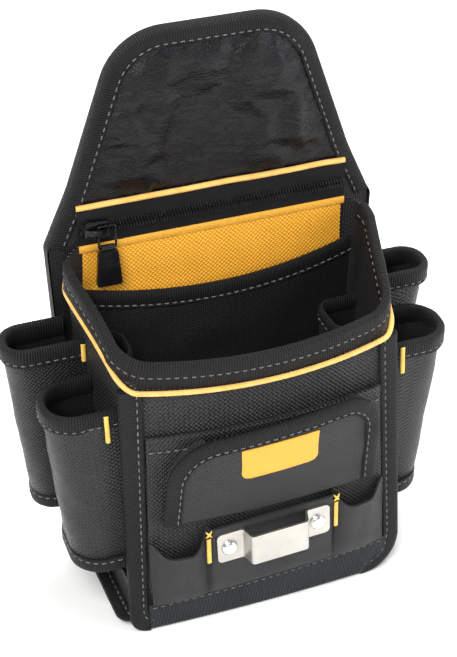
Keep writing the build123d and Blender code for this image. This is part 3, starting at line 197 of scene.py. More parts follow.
# ------------------------------------------------------------------ meshes
class MeshBuilder:
    """Collects grids and swept strips into one mesh."""

    def __init__(self, name: str) -> None:
        """Starts an empty mesh called `name`."""
        self.name = name
        self.points: list[Array] = []
        self.loops: list[Array] = []
        self.sizes: list[Array] = []
        self.uvs: list[Array] = []
        self.finish: list[Array] = []
        self.count = 0

    def grid(self, points: Array, uv: Array | None = None, wrap: bool = False, finish: int = 0) -> None:
        """Adds a rectangular net of quads.

        Args:
            points: Rows by columns by three.
            uv: Cloth coordinates in millimetres, with one more column if the net wraps.
            wrap: Whether the last column joins the first.
            finish: Which of the mesh's materials it has.
        """
        rows, cols = points.shape[:2]
        ring = np.concatenate([points, points[:, :1]], axis=1) if wrap else points
        if uv is None:
            across = np.concatenate(
                [np.zeros((rows, 1)), np.cumsum(np.linalg.norm(np.diff(ring, axis=1), axis=2), axis=1)],
                axis=1
            )
            along = np.concatenate([
                np.zeros((1, ring.shape[1])),
                np.cumsum(np.linalg.norm(np.diff(ring, axis=0), axis=2), axis=0)
            ])
            uv = join(across, along)
        i, j = np.meshgrid(np.arange(rows - 1), np.arange(ring.shape[1] - 1), indexing="ij")
        i, j = i.ravel(), j.ravel()
        k = (j + 1) % cols
        quads = join(i * cols + j, i * cols + k, (i + 1) * cols + k, (i + 1) * cols + j)
        self.points.append(points.reshape(-1, 3))
        self.loops.append((quads + self.count).ravel())
        self.sizes.append(np.full(len(quads), 4))
        self.uvs.append(
            np.stack([uv[i, j], uv[i, j + 1], uv[i + 1, j + 1], uv[i + 1, j]], axis=1).reshape(-1, 2)
        )
        self.finish.append(np.full(len(quads), finish))
        self.count += rows * cols

    def slab(self, outer: Array, inner: Array, uv: Array | None = None, inside: int = 0) -> None:
        """Adds a closed sheet between two nets of the same shape.

        Args:
            outer: The face that is seen.
            inner: The face behind it.
            uv: Cloth coordinates of both faces.
            inside: Which material the inner face has.
        """
        self.grid(outer, uv)
        self.grid(inner, uv, finish=inside)
        for a, b in (
            (outer[0], inner[0]), (outer[-1], inner[-1]), (outer[:, 0], inner[:, 0]),
            (outer[:, -1], inner[:, -1])
        ):
            self.grid(np.stack([a, b]))

    def sweep(self, spine: Array, side: Array, normal: Array, profile: Array, closed: bool = False) -> None:
        """Adds a strip whose cross-section follows a path.

        Args:
            spine: The path's points.
            side: Direction of the profile's first coordinate at each point.
            normal: Direction of its second coordinate.
            profile: The closed cross-section, the same everywhere or one for each point.
            closed: Whether the path's end joins its start.
        """
        shape = np.broadcast_to(profile, (len(spine),) + profile.shape[-2:])
        net = spine[:, None] + side[:, None] * shape[..., :1] + normal[:, None] * shape[..., 1:]
        if closed:
            net = np.concatenate([net, net[:1]])
            spine = np.concatenate([spine, spine[:1]])
        first = np.concatenate([shape[0], shape[0][:1]])
        u = np.broadcast_to(travel(spine)[:, None], (len(net), len(first)))
        v = np.broadcast_to(travel(first)[None], u.shape)
        self.grid(net, join(u, v), wrap=True)
        if not closed:
            self.caps(net)

    def caps(self, net: Array) -> None:
        """Closes both ends of a wrapped net towards their middles."""
        for row in (net[0], net[-1]):
            self.grid(np.stack([row, np.broadcast_to(row.mean(axis=0), row.shape)]), wrap=True)

    def tube(self, spine: Array, radius: float, sides: int = 12, closed: bool = False) -> None:
        """Adds a round cord along a path.

        Args:
            spine: The path's points.
            radius: Half its thickness.
            sides: Points round it.
            closed: Whether its ends join.
        """
        tangents = np.gradient(spine, axis=0)
        up = np.broadcast_to(np.array([0.0, 0.3, 1.0]), spine.shape)
        side = turned(tangents, up)
        normal = turned(side, tangents)
        angle = np.linspace(0.0, math.tau, sides, endpoint=False)
        self.sweep(spine, side, normal, join(np.cos(angle), np.sin(angle)) * radius, closed)

    def stitches(
        self, path: Array, normals: Array, length: float = 3.0, gap: float = 1.5, radius: float = 0.36
    ) -> None:
        """Adds a row of thread dashes that dip into the cloth at their ends.

        Args:
            path: Where the row runs, on the surface.
            normals: Outward directions of the surface there.
            length: Length of a dash.
            gap: Cloth between two dashes.
            radius: Half the thread's thickness.
        """
        run = travel(path)
        count = int(run[-1] // (length + gap))
        if count < 1:
            return
        starts = (np.arange(count) + 0.5) * run[-1] / count
        steps = np.linspace(-0.5, 0.5, 6) * length
        stops = starts[:, None] + steps[None]
        spots = np.stack([np.interp(stops, run, path[:, k]) for k in range(3)], axis=2)
        outward = unit(np.stack([np.interp(stops, run, normals[:, k]) for k in range(3)], axis=2))
        tangents = unit(np.gradient(spots, axis=1))
        side = turned(tangents, outward)
        swell = np.array([0.3, 0.85, 1.0, 1.0, 0.85, 0.3])
        lift = np.array([-0.6, 0.25, 0.5, 0.5, 0.25, -0.6]) * radius
        centre = spots + outward * lift[None, :, None]
        angle = np.linspace(0.0, math.tau, 7, endpoint=False)
        for index in range(count):
            across = side[index][:, None] * np.cos(angle)[None, :, None]
            proud = outward[index][:, None] * np.sin(angle)[None, :, None]
            ring = centre[index][:, None] + swell[:, None, None] * radius * (across + proud)
            self.grid(ring, wrap=True)

    def build(self, *materials: bpy.types.Material, sharp: float = 42.0) -> bpy.types.Object:
        """Writes the mesh into the scene.

        Args:
            materials: The finishes, in the order that the nets name them.
            sharp: Edges that turn more than this many degrees stay crisp.

        Returns:
            The new object.
        """
        mesh = bpy.data.meshes.new(self.name)
        spots = np.concatenate(self.points) * MM
        loops, sizes = np.concatenate(self.loops), np.concatenate(self.sizes)
        mesh.vertices.add(len(spots))
        mesh.vertices.foreach_set("co", spots.astype(np.float32).ravel())
        mesh.loops.add(len(loops))
        mesh.loops.foreach_set("vertex_index", loops.astype(np.int32))
        mesh.polygons.add(len(sizes))
        mesh.polygons.foreach_set("loop_start", (np.cumsum(sizes) - sizes).astype(np.int32))
        mesh.polygons.foreach_set("material_index", np.concatenate(self.finish).astype(np.int32))
        mesh.uv_layers.new(name="UVMap").data.foreach_set(
            "uv", np.concatenate(self.uvs).astype(np.float32).ravel()
        )
        mesh.update(calc_edges=True)
        work = bmesh.new()
        work.from_mesh(mesh)
        bmesh.ops.remove_doubles(work, verts=work.verts, dist=2e-6)
        bmesh.ops.recalc_face_normals(work, faces=work.faces)
        work.to_mesh(mesh)
        work.free()
        mesh.validate()
        mesh.shade_smooth()
        mesh.set_sharp_from_angle(angle=math.radians(sharp))
        for material in materials:
            mesh.materials.append(material)
        piece = bpy.data.objects.new(self.name, mesh)
        bpy.context.scene.collection.objects.link(piece)
        return piece


# ------------------------------------------------------------------ finishes
class Graph:
    """Short-hand for wiring one material's nodes."""

    def __init__(self, name: str) -> None:
        """Makes a material with a bare shader."""
        self.material = bpy.data.materials.new(name)
        self.material.use_nodes = True
        self.tree = self.material.node_tree
        self.tree.nodes.clear()
        self.output = self.tree.nodes.new("ShaderNodeOutputMaterial")
        self.shader = self.tree.nodes.new("ShaderNodeBsdfPrincipled")
        self.tree.links.new(self.shader.outputs["BSDF"], self.output.inputs["Surface"])

    def put(self, socket: Socket, value) -> None:
        """Links a socket to another one, or sets its number."""
        if isinstance(value, Socket):
            self.tree.links.new(value, socket)
        else:
            socket.default_value = value

    def math(self, operation: str, a, b=0.0, c=0.0) -> Socket:
        """One step of arithmetic.

        Args:
            operation: The math node's operation.
            a: First value or socket.
            b: Second value or socket.
            c: Third value or socket.

        Returns:
            The result's socket.
        """
        node = self.tree.nodes.new("ShaderNodeMath")
        node.operation = operation
        for socket, value in zip(node.inputs, (a, b, c)):
            self.put(socket, value)
        return node.outputs[0]

    def wave(self, value, rate: float) -> Socket:
        """Height of a row of arches, one for each half turn of value times rate."""
        return self.math("ABSOLUTE", self.math("SINE", self.math("MULTIPLY", value, rate)))

    def cloth_uv(self) -> tuple[Socket, Socket]:
        """The two cloth coordinates, in millimetres."""
        node = self.tree.nodes.new("ShaderNodeUVMap")
        node.uv_map = "UVMap"
        split = self.tree.nodes.new("ShaderNodeSeparateXYZ")
        self.tree.links.new(node.outputs["UV"], split.inputs[0])
        return split.outputs[0], split.outputs[1]

    def place(self, stretch: Triple = (1.0, 1.0, 1.0)) -> Socket:
        """Object coordinates, in metres, stretched along each axis."""
        node = self.tree.nodes.new("ShaderNodeTexCoord")
        scale = self.tree.nodes.new("ShaderNodeMapping")
        scale.inputs["Scale"].default_value = stretch
        self.tree.links.new(node.outputs["Object"], scale.inputs["Vector"])
        return scale.outputs[0]

    def noise(self, vector, scale: float, detail: float = 3.0, rough: float = 0.5) -> Socket:
        """A noise texture's value.

        Args:
            vector: Where it is read.
            scale: Rises in each unit of length.
            detail: Octaves.
            rough: How strong the finer octaves are.

        Returns:
            The value's socket.
        """
        node = self.tree.nodes.new("ShaderNodeTexNoise")
        self.put(node.inputs["Vector"], vector)
        node.inputs["Scale"].default_value = scale
        node.inputs["Detail"].default_value = detail
        node.inputs["Roughness"].default_value = rough
        return node.outputs[0]

    def cells(self, vector, scale: float) -> Socket:
        """Distance from the middle of a pebbled cell."""
        node = self.tree.nodes.new("ShaderNodeTexVoronoi")
        self.put(node.inputs["Vector"], vector)
        node.inputs["Scale"].default_value = scale
        return node.outputs["Distance"]

    def span(self, value, low: float, high: float, to_low: float = 0.0, to_high: float = 1.0) -> Socket:
        """A value moved from one range to another and kept inside it.

        Args:
            value: The socket.
            low: Lower end of its range.
            high: Upper end.
            to_low: What the lower end becomes.
            to_high: What the upper end becomes.

        Returns:
            The result's socket.
        """
        node = self.tree.nodes.new("ShaderNodeMapRange")
        self.put(node.inputs[0], value)
        for index, number in enumerate((low, high, to_low, to_high)):
            node.inputs[index + 1].default_value = number
        return node.outputs[0]

    def tint(self, share, first: Sequence[float], second: Sequence[float]) -> Socket:
        """A colour between two.

        Args:
            share: How far towards the second.
            first: Colour at zero.
            second: Colour at one.

        Returns:
            The colour's socket.
        """
        node = self.tree.nodes.new("ShaderNodeMix")
        node.data_type = "RGBA"
        self.put(node.inputs["Factor"], share)
        for socket, value in ((node.inputs[6], first), (node.inputs[7], second)):
            self.put(socket, value if isinstance(value, Socket) else (*value, 1.0))
        return node.outputs[2]

    def bump(self, height, distance: float, strength: float = 1.0, under=None) -> Socket:
        """A normal pushed about by a height.

        Args:
            height: The height's socket.
            distance: What one unit of height measures, in millimetres.
            strength: Share of the effect.
            under: A normal that this one adds to.

        Returns:
            The normal's socket.
        """
        node = self.tree.nodes.new("ShaderNodeBump")
        node.inputs["Distance"].default_value = distance * MM
        node.inputs["Strength"].default_value = strength
        self.put(node.inputs["Height"], height)
        if under is not None:
            self.put(node.inputs["Normal"], under)
        return node.outputs[0]

    def weave(self, pitch: float, angle: float, slack: float = 0.45) -> Socket:
        """Height of a plain weave, one at the crown of a yarn.

        Args:
            pitch: Distance between yarns, in millimetres.
            angle: How the cloth is turned, in degrees.
            slack: Below one, yarns look longer than they are wide.

        Returns:
            The height's socket.
        """
        u, v = self.cloth_uv()
        c, s = math.cos(math.radians(angle)) / pitch, math.sin(math.radians(angle)) / pitch
        a = self.math("ADD", self.math("MULTIPLY", u, c), self.math("MULTIPLY", v, s))
        b = self.math("SUBTRACT", self.math("MULTIPLY", v, c), self.math("MULTIPLY", u, s))
        wave_a = self.wave(a, math.pi)
        wave_b = self.wave(b, math.pi)
        odd = self.math("MODULO", self.math("ADD", self.math("FLOOR", a), self.math("FLOOR", b)), 2.0)
        odd = self.math("GREATER_THAN", self.math("ABSOLUTE", odd), 0.5)
        warp = self.math("MULTIPLY", wave_a, self.math("POWER", wave_b, slack))
        weft = self.math("MULTIPLY", wave_b, self.math("POWER", wave_a, slack))
        return self.math(
            "ADD", self.math("MULTIPLY", warp, odd),
            self.math("MULTIPLY", weft, self.math("SUBTRACT", 1.0, odd))
        )

    def sockets(self, **values) -> None:
        """Sets the shader's own sockets by name, with underscores for spaces."""
        for name, value in values.items():
            self.put(self.shader.inputs[name.replace("_", " ")], value)


@dataclass(frozen=True)
class Weave:
    """A woven cloth; the hollows between its yarns are painted darker as shade."""

    name: str
    # gap is the colour in the hollows between yarns, painted darker as shade; yarn is the colour on their
    # crowns.
    gap: Triple
    yarn: Triple
    pitch: float
    angle: float = 45.0
    rough: float = 0.5
    depth: float = 0.45
    sheen: float = 0.25
    slack: float = 0.45
    dirt: float = 0.18

    def make(self) -> bpy.types.Material:
        """The cloth's material."""
        g = Graph(self.name)
        height = g.weave(self.pitch, self.angle, self.slack)
        place = g.place()
        broad = g.noise(place, 22.0, 3.0)
        fibre = g.noise(place, 2600.0, 2.0)
        # The colour follows the weave's height, so the hollows between yarns take the darker gap colour as
        # painted shade; the broad noise, scaled by dirt, adds random tone.
        worn = g.math("MULTIPLY", g.span(broad, 0.3, 0.75, 1.0 - self.dirt, 1.0 + self.dirt), height)
        g.sockets(
            Base_Color=g.tint(g.span(worn, 0.1, 1.0), self.gap, self.yarn),
            Roughness=g.span(fibre, 0.2, 0.8, self.rough - 0.07, self.rough + 0.12),
            Sheen_Weight=self.sheen,
            Sheen_Roughness=0.45,
            Normal=g.bump(fibre, 0.03, 0.6, g.bump(height, self.depth, 0.9)),
        )
        return g.material


@dataclass(frozen=True)
class Ribbed:
    """A tape or coated cloth with ribs across its length; the grooves between ribs are painted darker as
    shade.
    """

    name: str
    # gap is the colour in the grooves between ribs, painted darker as shade; rib is the colour on the ribs'
    # crowns.
    gap: Triple
    rib: Triple
    pitch: float = 1.35
    slant: float = 0.0
    rough: float = 0.62
    depth: float = 0.4
    sheen: float = 0.35

    def make(self) -> bpy.types.Material:
        """The tape's material."""
        g = Graph(self.name)
        u, v = g.cloth_uv()
        course = g.math(
            "ADD", g.math("MULTIPLY", u, 1.0 / self.pitch), g.math("MULTIPLY", v, self.slant / self.pitch)
        )
        rib = g.math("POWER", g.wave(course, math.pi), 0.7)
        thread = g.wave(v, math.pi / 0.55)
        height = g.math("ADD", rib, g.math("MULTIPLY", thread, 0.22))
        place = g.place()
        broad = g.noise(place, 35.0, 4.0)
        fibre = g.noise(place, 2200.0, 2.0)
        # The colour follows the ribs' height, so the grooves take the darker gap colour as painted shade;
        # the broad noise adds random tone.
        worn = g.math("MULTIPLY", g.span(broad, 0.3, 0.75, 0.7, 1.25), rib)
        g.sockets(
            Base_Color=g.tint(g.span(worn, 0.05, 1.1), self.gap, self.rib),
            Roughness=g.span(fibre, 0.2, 0.8, self.rough - 0.08, self.rough + 0.1),
            Sheen_Weight=self.sheen,
            Sheen_Roughness=0.5,
            Specular_IOR_Level=0.18,
            Normal=g.bump(fibre, 0.04, 0.6, g.bump(height, self.depth, 0.9)),
        )
        return g.material


@dataclass(frozen=True)
class Grained:
    """Black coated leather cloth with a pebbled, creased face; its crease lines are painted darker as shade.
    """

    name: str
    # deep is the colour painted along the creases as shade; crown is the colour elsewhere.
    deep: Triple = (0.001, 0.001, 0.0013)
    crown: Triple = (0.006, 0.006, 0.007)

    def make(self) -> bpy.types.Material:
        """The grained material."""
        g = Graph(self.name)
        place = g.place()
        pebble = g.cells(place, 900.0)
        finer = g.cells(place, 2100.0)
        crease = g.noise(g.place((1.0, 1.0, 2.6)), 75.0, 6.0, 0.6)
        # folds is nought along the crease lines, where the colour takes deep as painted shade; the wear
        # noise adds random tone.
        folds = g.span(g.math("ABSOLUTE", g.math("SUBTRACT", crease, 0.5)), 0.0, 0.05)
        grain = g.math("ADD", g.math("MULTIPLY", pebble, 0.7), g.math("MULTIPLY", finer, 0.3))
        wear = g.noise(place, 30.0, 3.0)
        g.sockets(
            Base_Color=g.tint(
                g.math("MULTIPLY", folds, g.span(wear, 0.3, 0.7, 0.5, 1.0)), self.deep, self.crown
            ),
            Roughness=g.span(wear, 0.3, 0.7, 0.22, 0.3),
            Specular_IOR_Level=0.26,
            Normal=g.bump(grain, 0.3, 0.9, g.bump(folds, 0.12, 0.7, g.bump(crease, 0.4, 0.7))),
        )
        return g.material


@dataclass(frozen=True)
class Twist:
    """Sewing thread or a smooth cord; the grooves of its twist are painted darker as shade."""

    name: str
    dark: Triple
    light: Triple
    rough: float = 0.55
    pitch: float = 0.6

    def make(self) -> bpy.types.Material:
        """The thread's material."""
        g = Graph(self.name)
        u, v = g.cloth_uv()
        # lay also darkens the colour in the grooves of the twist, as painted shade; the tone noise adds
        # random tone.
        lay = g.wave(g.math("ADD", u, v), math.pi / self.pitch)
        tone = g.noise(g.place(), 160.0, 3.0)
        g.sockets(
            Base_Color=g.tint(
                g.math("MULTIPLY", g.span(tone, 0.3, 0.7, 0.55, 1.0), g.span(lay, 0.0, 0.6, 0.6, 1.0)),
                self.dark, self.light
            ),
            Roughness=g.span(tone, 0.3, 0.7, self.rough - 0.08, self.rough + 0.08),
            Sheen_Weight=0.2,
            Normal=g.bump(lay, 0.12, 0.7),
        )
        return g.material


@dataclass(frozen=True)
class Moulded:
    """Moulded plastic or enamelled metal, with worn highlights."""

    name: str
    colour: Triple
    worn: Triple
    rough: float = 0.4
    metallic: float = 0.0

    def make(self) -> bpy.types.Material:
        """The moulded material."""
        g = Graph(self.name)
        place = g.place()
        patch = g.noise(place, 180.0, 5.0, 0.65)
        speck = g.noise(place, 3000.0, 2.0)
        g.sockets(
            Base_Color=g.tint(g.span(patch, 0.55, 0.75), self.colour, self.worn),
            Roughness=g.span(patch, 0.3, 0.75, self.rough - 0.08, self.rough + 0.14),
            Metallic=self.metallic,
            Normal=g.bump(speck, 0.02, 0.6),
        )
        return g.material


@dataclass(frozen=True)
class Steel:
    """Steel with fine brushed lines along X, or polished."""

    name: str
    colour: Triple
    rough: float
    lines: float

    def make(self) -> bpy.types.Material:
        """The steel's material."""
        g = Graph(self.name)
        brushed = g.noise(g.place((18.0, 900.0, 900.0)), 1.6, 4.0, 0.6)
        smear = g.noise(g.place(), 70.0, 4.0)
        g.sockets(
            Base_Color=g.tint(g.span(smear, 0.3, 0.7), tuple(0.82 * c for c in self.colour), self.colour),
            Metallic=1.0,
            Roughness=g.math(
                "ADD", g.span(brushed, 0.3, 0.7, self.rough - 0.05, self.rough + 0.09),
                g.span(smear, 0.3, 0.7, -0.03, 0.06)
            ),
            Normal=g.bump(brushed, self.lines, 0.6),
        )
        return g.material


class Finishes:
    """Every material of the pouch, made once."""

    def __init__(self) -> None:
        """Makes the materials."""
        black = (0.0008, 0.0008, 0.001)
        self.nylon = Weave(
            "ballistic_nylon", black, (0.013, 0.013, 0.0145), 1.9, 45.0, 0.4, 0.75, 0.02
        ).make()
        self.tube_nylon = Weave(
            "tube_nylon", black, (0.011, 0.011, 0.0125), 1.7, 45.0, 0.42, 0.55, 0.02
        ).make()
        self.grey = Weave(
            "fine_twill", (0.004, 0.004, 0.0045), (0.016, 0.016, 0.018), 1.2, 45.0, 0.5, 0.4, 0.04
        ).make()
        self.lining = Weave(
            "lining_cloth", (0.002, 0.002, 0.0024), (0.008, 0.008, 0.0092), 1.3, 0.0, 0.48, 0.3, 0.02
        ).make()
        self.amber = Weave(
            "amber_cloth", (0.88, 0.33, 0.012), (1.0, 0.56, 0.055), 1.9, 45.0, 0.5, 0.4, 0.02, 0.6, 0.04
        ).make()
        self.label = Weave(
            "label_cloth", (0.8, 0.36, 0.03), (0.98, 0.52, 0.06), 0.9, 0.0, 0.5, 0.2, 0.05, 0.8, 0.05
        ).make()
        self.tape = Ribbed(
            "binding_tape", (0.0015, 0.0015, 0.0018), (0.0135, 0.0135, 0.0148), 1.4, 0.0, 0.5, 0.55, 0.02
        ).make()
        self.zip_tape = Ribbed(
            "zipper_tape", (0.0015, 0.0015, 0.0018), (0.01, 0.01, 0.0115), 0.9, 1.0, 0.55, 0.25, 0.02
        ).make()
        self.coated = Ribbed(
            "coated_base", (0.005, 0.0055, 0.0062), (0.026, 0.029, 0.032), 2.0, 0.25, 0.42, 0.5, 0.02
        ).make()
        self.webbing = Ribbed(
            "tunnel_webbing", (0.002, 0.002, 0.0023), (0.016, 0.016, 0.0175), 2.2, 0.0, 0.55, 0.6, 0.03
        ).make()
        self.leather = Grained("coated_leather").make()
        self.grey_thread = Twist("grey_thread", (0.04, 0.04, 0.04), (0.17, 0.17, 0.165)).make()
        self.gold_thread = Twist("gold_thread", (0.62, 0.33, 0.03), (0.98, 0.66, 0.12)).make()
        self.cord = Twist("accent_cord", (0.72, 0.31, 0.04), (0.96, 0.55, 0.15), 0.34, 1.5).make()
        self.coil = Moulded("zipper_coil", (0.02, 0.02, 0.022), (0.05, 0.05, 0.053), 0.25).make()
        self.enamel = Moulded("black_enamel", (0.008, 0.008, 0.009), (0.09, 0.09, 0.09), 0.26, 0.5).make()
        self.tab = Moulded("tab_plastic", (0.005, 0.005, 0.006), (0.02, 0.02, 0.022), 0.34).make()
        self.steel = Steel("brushed_steel", (0.6, 0.575, 0.53), 0.34, 0.05).make()
        self.rivet = Steel("polished_steel", (0.86, 0.85, 0.83), 0.16, 0.0).make()


# ------------------------------------------------------------------ shapes the cloth follows
@dataclass
class BagForm:
    """The bag's rounded form: rings of points at every height."""

    back_y: float = 38.0
    base_half: float = 80.0
    ear_half: float = 92.0
    ear_z: float = 207.0
    rim_z: float = 176.0
    rim_dip: float = 4.0
    half_low: float = 77.5
    half_top: float = 76.0
    y_low: float = -54.0
    y_top: float = -46.0
    bulge_low: float = 2.0
    bulge_top: float = 11.4
    break_z: float = 150.0
    foot_z: float = 1.9
    keel: Pair = (8.0, 22.0)
    cuts: tuple[int, int, int, int] = (10, 34, 12, 46)
    levels: Array = field(init=False)
    spots: Array = field(init=False)
    outward: Array = field(init=False)

    def __post_init__(self) -> None:
        """Works out the rings once."""
        self.levels = np.arange(-4.0, 226.0, 2.0)
        rings = [self._ring(z) for z in self.levels]
        self.spots = np.stack(rings)
        tangents = np.gradient(self.spots, axis=1)
        self.outward = unit(join(tangents[..., 1], -tangents[..., 0]))

    def front_y(self, z):
        """Depth of the middle of the front at a height."""
        return lerp(self.y_low, self.y_top, z / self.rim_z)

    def bulge(self, z):
        """How far the middle of the front stands before its corners."""
        return lerp(self.bulge_low, self.bulge_top, z / self.rim_z)

    def front_depth(self, x, z):
        """Depth of the front's outside at a place on it."""
        return bowed(self.front_y(z), self.half_top, self.bulge(z), x)

    def side_x(self, y, z):
        """Half width of the outside at a depth and a height."""
        corner_y = self.front_y(z) + self.bulge(z)
        front_half = lerp(self.half_low, self.half_top, z / self.rim_z)
        back_half = lerp(self.base_half, self.ear_half, z / self.ear_z)
        return lerp(front_half, back_half, (y - corner_y) / (self.back_y - corner_y))

    def turn_r(self, z):
        """Radius of the wall's turn into the back panel at a height."""
        return lerp(6.0, 17.0, z / self.ear_z)

    def room_x(self, y, z, gap: float = 2.4):
        """Half width of the inside, where the wall turns in to the back panel."""
        turn = self.turn_r(z)
        short = np.clip(turn - (self.back_y - y), 0.0, turn)
        return self.side_x(y, z) - gap - (turn - np.sqrt(turn**2 - short**2))

    def _ring(self, z: float) -> Array:
        """One ring, from the back on the left round the front to the back on the right."""
        turn, side, corner, front = self.cuts
        hx = lerp(self.half_low, self.half_top, z / self.rim_z)
        hy = float(self.front_depth(hx, z))
        bend = np.array([hx, hy])
        back = np.array([float(self.side_x(self.back_y, z)), self.back_y])
        rise = unit(back - bend)
        slope = (self.front_depth(hx, z) - self.front_depth(hx - 0.5, z)) / 0.5
        inward = unit(np.array([-1.0, -slope]))
        radius = float(np.interp(z, [0.0, self.break_z, self.rim_z], [5.0, 6.0, 20.0]))
        reach = radius / math.tan(0.5 * math.acos(float(rise @ inward)))
        edge_x = hx + inward[0] * reach
        xs = np.linspace(0.0, edge_x, front)
        middle = join(xs, self.front_depth(xs, z))
        turn_r = self.turn_r(z)
        turn_reach = turn_r / math.tan(0.5 * math.acos(float(-rise @ np.array([-1.0, 0.0]))))
        side_end = back - rise * turn_reach
        flank = np.linspace(bend + rise * reach, side_end, side)
        half = np.concatenate([
            middle[:-1],
            self._bend(middle[-1], bend, flank[0], corner)[:-1],
            flank[:-1],
            self._bend(side_end, back, back - np.array([turn_reach, 0.0]), turn),
        ])
        mirrored = half[:0:-1] * np.array([-1.0, 1.0])
        return np.concatenate([mirrored, half])

    @staticmethod
    def _bend(start: Array, corner: Array, end: Array, count: int) -> Array:
        """A smooth turn between two runs."""
        t = shares(count)
        a, b = lerp(start, corner, 0.56), lerp(end, corner, 0.56)
        return start * (1 - t) ** 3 + a * 3 * t * (1 - t) ** 2 + b * 3 * t * t * (1 - t) + end * t**3

    @property
    def count(self) -> int:
        """Points in a ring."""
        return self.spots.shape[1]

    def column(self, part: str, sign: int) -> int:
        """The ring's point where a part of the wall begins, on one side."""
        turn, side, corner, _ = self.cuts
        bend = turn + side - 2
        places = {"back": 0, "turn": turn - 1, "corner": bend, "seam": bend + corner // 2}
        steps = places[part]
        return steps if sign < 0 else self.count - 1 - steps

    def at(self, cols: Array, z: Array, grow: float = 0.0) -> tuple[Array, Array]:
        """Places on the form.

        Args:
            cols: Which of the ring's points.
            z: Heights, in the same shape.
            grow: How far outside the cloth.

        Returns:
            The places, and the outward directions there.
        """
        place = np.clip((z - self.levels[0]) / 2.0, 0.0, len(self.levels) - 1.001)
        low = place.astype(int)
        share = (place - low)[..., None]
        flat = lerp(self.spots[low, cols], self.spots[low + 1, cols], share)
        out = unit(lerp(self.outward[low, cols], self.outward[low + 1, cols], share))
        flat = flat + out * grow
        normals = np.concatenate([out, np.zeros(out.shape[:-1] + (1,))], axis=-1)
        return np.concatenate([flat, z[..., None]], axis=-1), normals

    def rim_line(self, y):
        """Height of the rim at a depth."""
        corner_y = self.y_top + self.bulge_top
        climb = {0.2: 0.235, 0.35: 0.43, 0.7: 0.755}
        ys = [lerp(corner_y, self.back_y, share) for share in climb]
        zs = [lerp(self.rim_z, self.ear_z, share) for share in climb.values()]
        front_z = self.rim_z - self.rim_dip
        ys = [self.y_low - 30, self.y_top, corner_y, *ys, self.back_y, self.back_y + 20]
        zs = [front_z, front_z, self.rim_z, *zs, self.ear_z, self.ear_z + 4]
        return np.interp(y, ys, zs)

    def rim(self, under: float = 0.0) -> Array:
        """The rim's height, less `under`, at each of the ring's points, smoothed."""
        cols = np.arange(self.count)
        z = np.full(self.count, self.rim_z)
        for _ in range(8):
            z = self.rim_line(self.at(cols, z)[0][:, 1])
        kernel = np.hanning(13)
        padded = np.pad(z, 6, mode="edge")
        return np.convolve(padded, kernel / kernel.sum(), mode="valid") - under

    def keel_r(self, side: Side) -> float:
        """Radius of the rounded lower corner on a side."""
        return self.keel[0 if side is Side.LEFT else 1]

    def keel_x(self, z, side: Side, grow: float) -> Array:
        """How wide the rounded lower corner lets the wall be at a height."""
        radius = self.keel_r(side) + grow
        rise = np.clip(radius - (z - (self.foot_z - grow)), 0.0, radius)
        free = self.base_half + grow - radius + np.sqrt(radius**2 - rise**2)
        return np.where(rise > 0, free, 1e3)

    def trimmed(self, points: Array, grow: float) -> Array:
        """Points held inside the rounded lower corners."""
        low = -self.keel_x(points[..., 2], Side.LEFT, grow)
        high = self.keel_x(points[..., 2], Side.RIGHT, grow)
        out = points.copy()
        out[..., 0] = np.clip(points[..., 0], low, high)
        return out

    def front(self, x: Array, z: Array, stand: Array | float) -> Array:
        """Places that stand before the front, by its width and height."""
        return join(x, self.front_depth(x, z) - stand, z)

    def front_normals(self, x: Array, z: Array) -> Array:
        """Outward directions of the front."""
        slope = (self.front_depth(x + 0.5, z) - self.front_depth(x - 0.5, z))
        return unit(join(slope, -1.0, 0.045))


def fold_profile(width: float, wall: float, proud: float, inside: float, groove: float) -> Array:
    """Cross-section of a tape folded over a cloth edge.

    Args:
        width: How far it reaches down the outside.
        wall: Thickness of the cloth.
        proud: How far it stands off the cloth.
        inside: How far it reaches down the inside.
        groove: Where its stitches pull it in, from the edge.

    Returns:
        The closed profile: first down from the edge, then outward from the cloth's middle.
    """
    skin, out = 0.5 * wall + 0.12, 0.5 * wall + proud
    return np.array([
        (width, skin), (width + 0.1, out - 0.5), (width - 0.7, out - 0.05),
        (lerp(groove, width, 0.5), out + 0.1),
        (groove + 0.8, out - 0.05), (groove, out - 0.35), (groove - 0.8, out - 0.05),
        (lerp(groove, 0.0, 0.5), out + 0.15),
        (1.6, out - 0.05), (0.6, out - 0.7), (0.08, 0.45 * out), (0.0, 0.0), (0.08, -0.45 * out),
        (0.6, -out + 0.7),
        (1.6, -out + 0.05), (0.5 * inside, -out - 0.1), (inside - 0.6, -out + 0.05), (inside, -out + 0.5),
        (inside, -skin),
        (1.9, -skin), (1.5, 0.0), (1.9, skin),
    ])


@dataclass
class Maker:
    """What every sub-assembly needs: the bag's form and the finishes."""

    form: BagForm
    look: Finishes

    def settle(
        self, piece: bpy.types.Object, slot: str, *nodes: str, body: str = "pouch"
    ) -> bpy.types.Object:
        """Ties a finished piece to its body and hides the CAD nodes it stands for.

        Args:
            piece: The piece.
            slot: Not used.
            nodes: CAD nodes that it replaces.
            body: The body that carries it.

        Returns:
            The same piece.
        """
        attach(piece, body)
        if nodes:
            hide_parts(*nodes)
        log.info("%s on %s: %d faces", piece.name, body, len(piece.data.polygons))
        return piece

    def bind(self, mesh: MeshBuilder, node: str) -> None:
        """Settles a binding tape in place of its node."""
        self.settle(mesh.build(self.look.tape), "tape", node)

    def sew(
        self, name: str, rows: Sequence[tuple[Array, Array]], gold: bool = False, **sizes: float
    ) -> bpy.types.Object:
        """Lays rows of stitches as one piece.

        Args:
            name: The piece's name.
            rows: Each row's path and outward directions.
            gold: Whether the thread is the accent colour.
            sizes: Stitch length, gap and radius.

        Returns:
            The piece.
        """
        mesh = MeshBuilder(name)
        for path, normals in rows:
            mesh.stitches(path, normals, **sizes)
        return self.settle(
            mesh.build(self.look.gold_thread if gold else self.look.grey_thread),
            "accent_thread" if gold else "tape"
        )


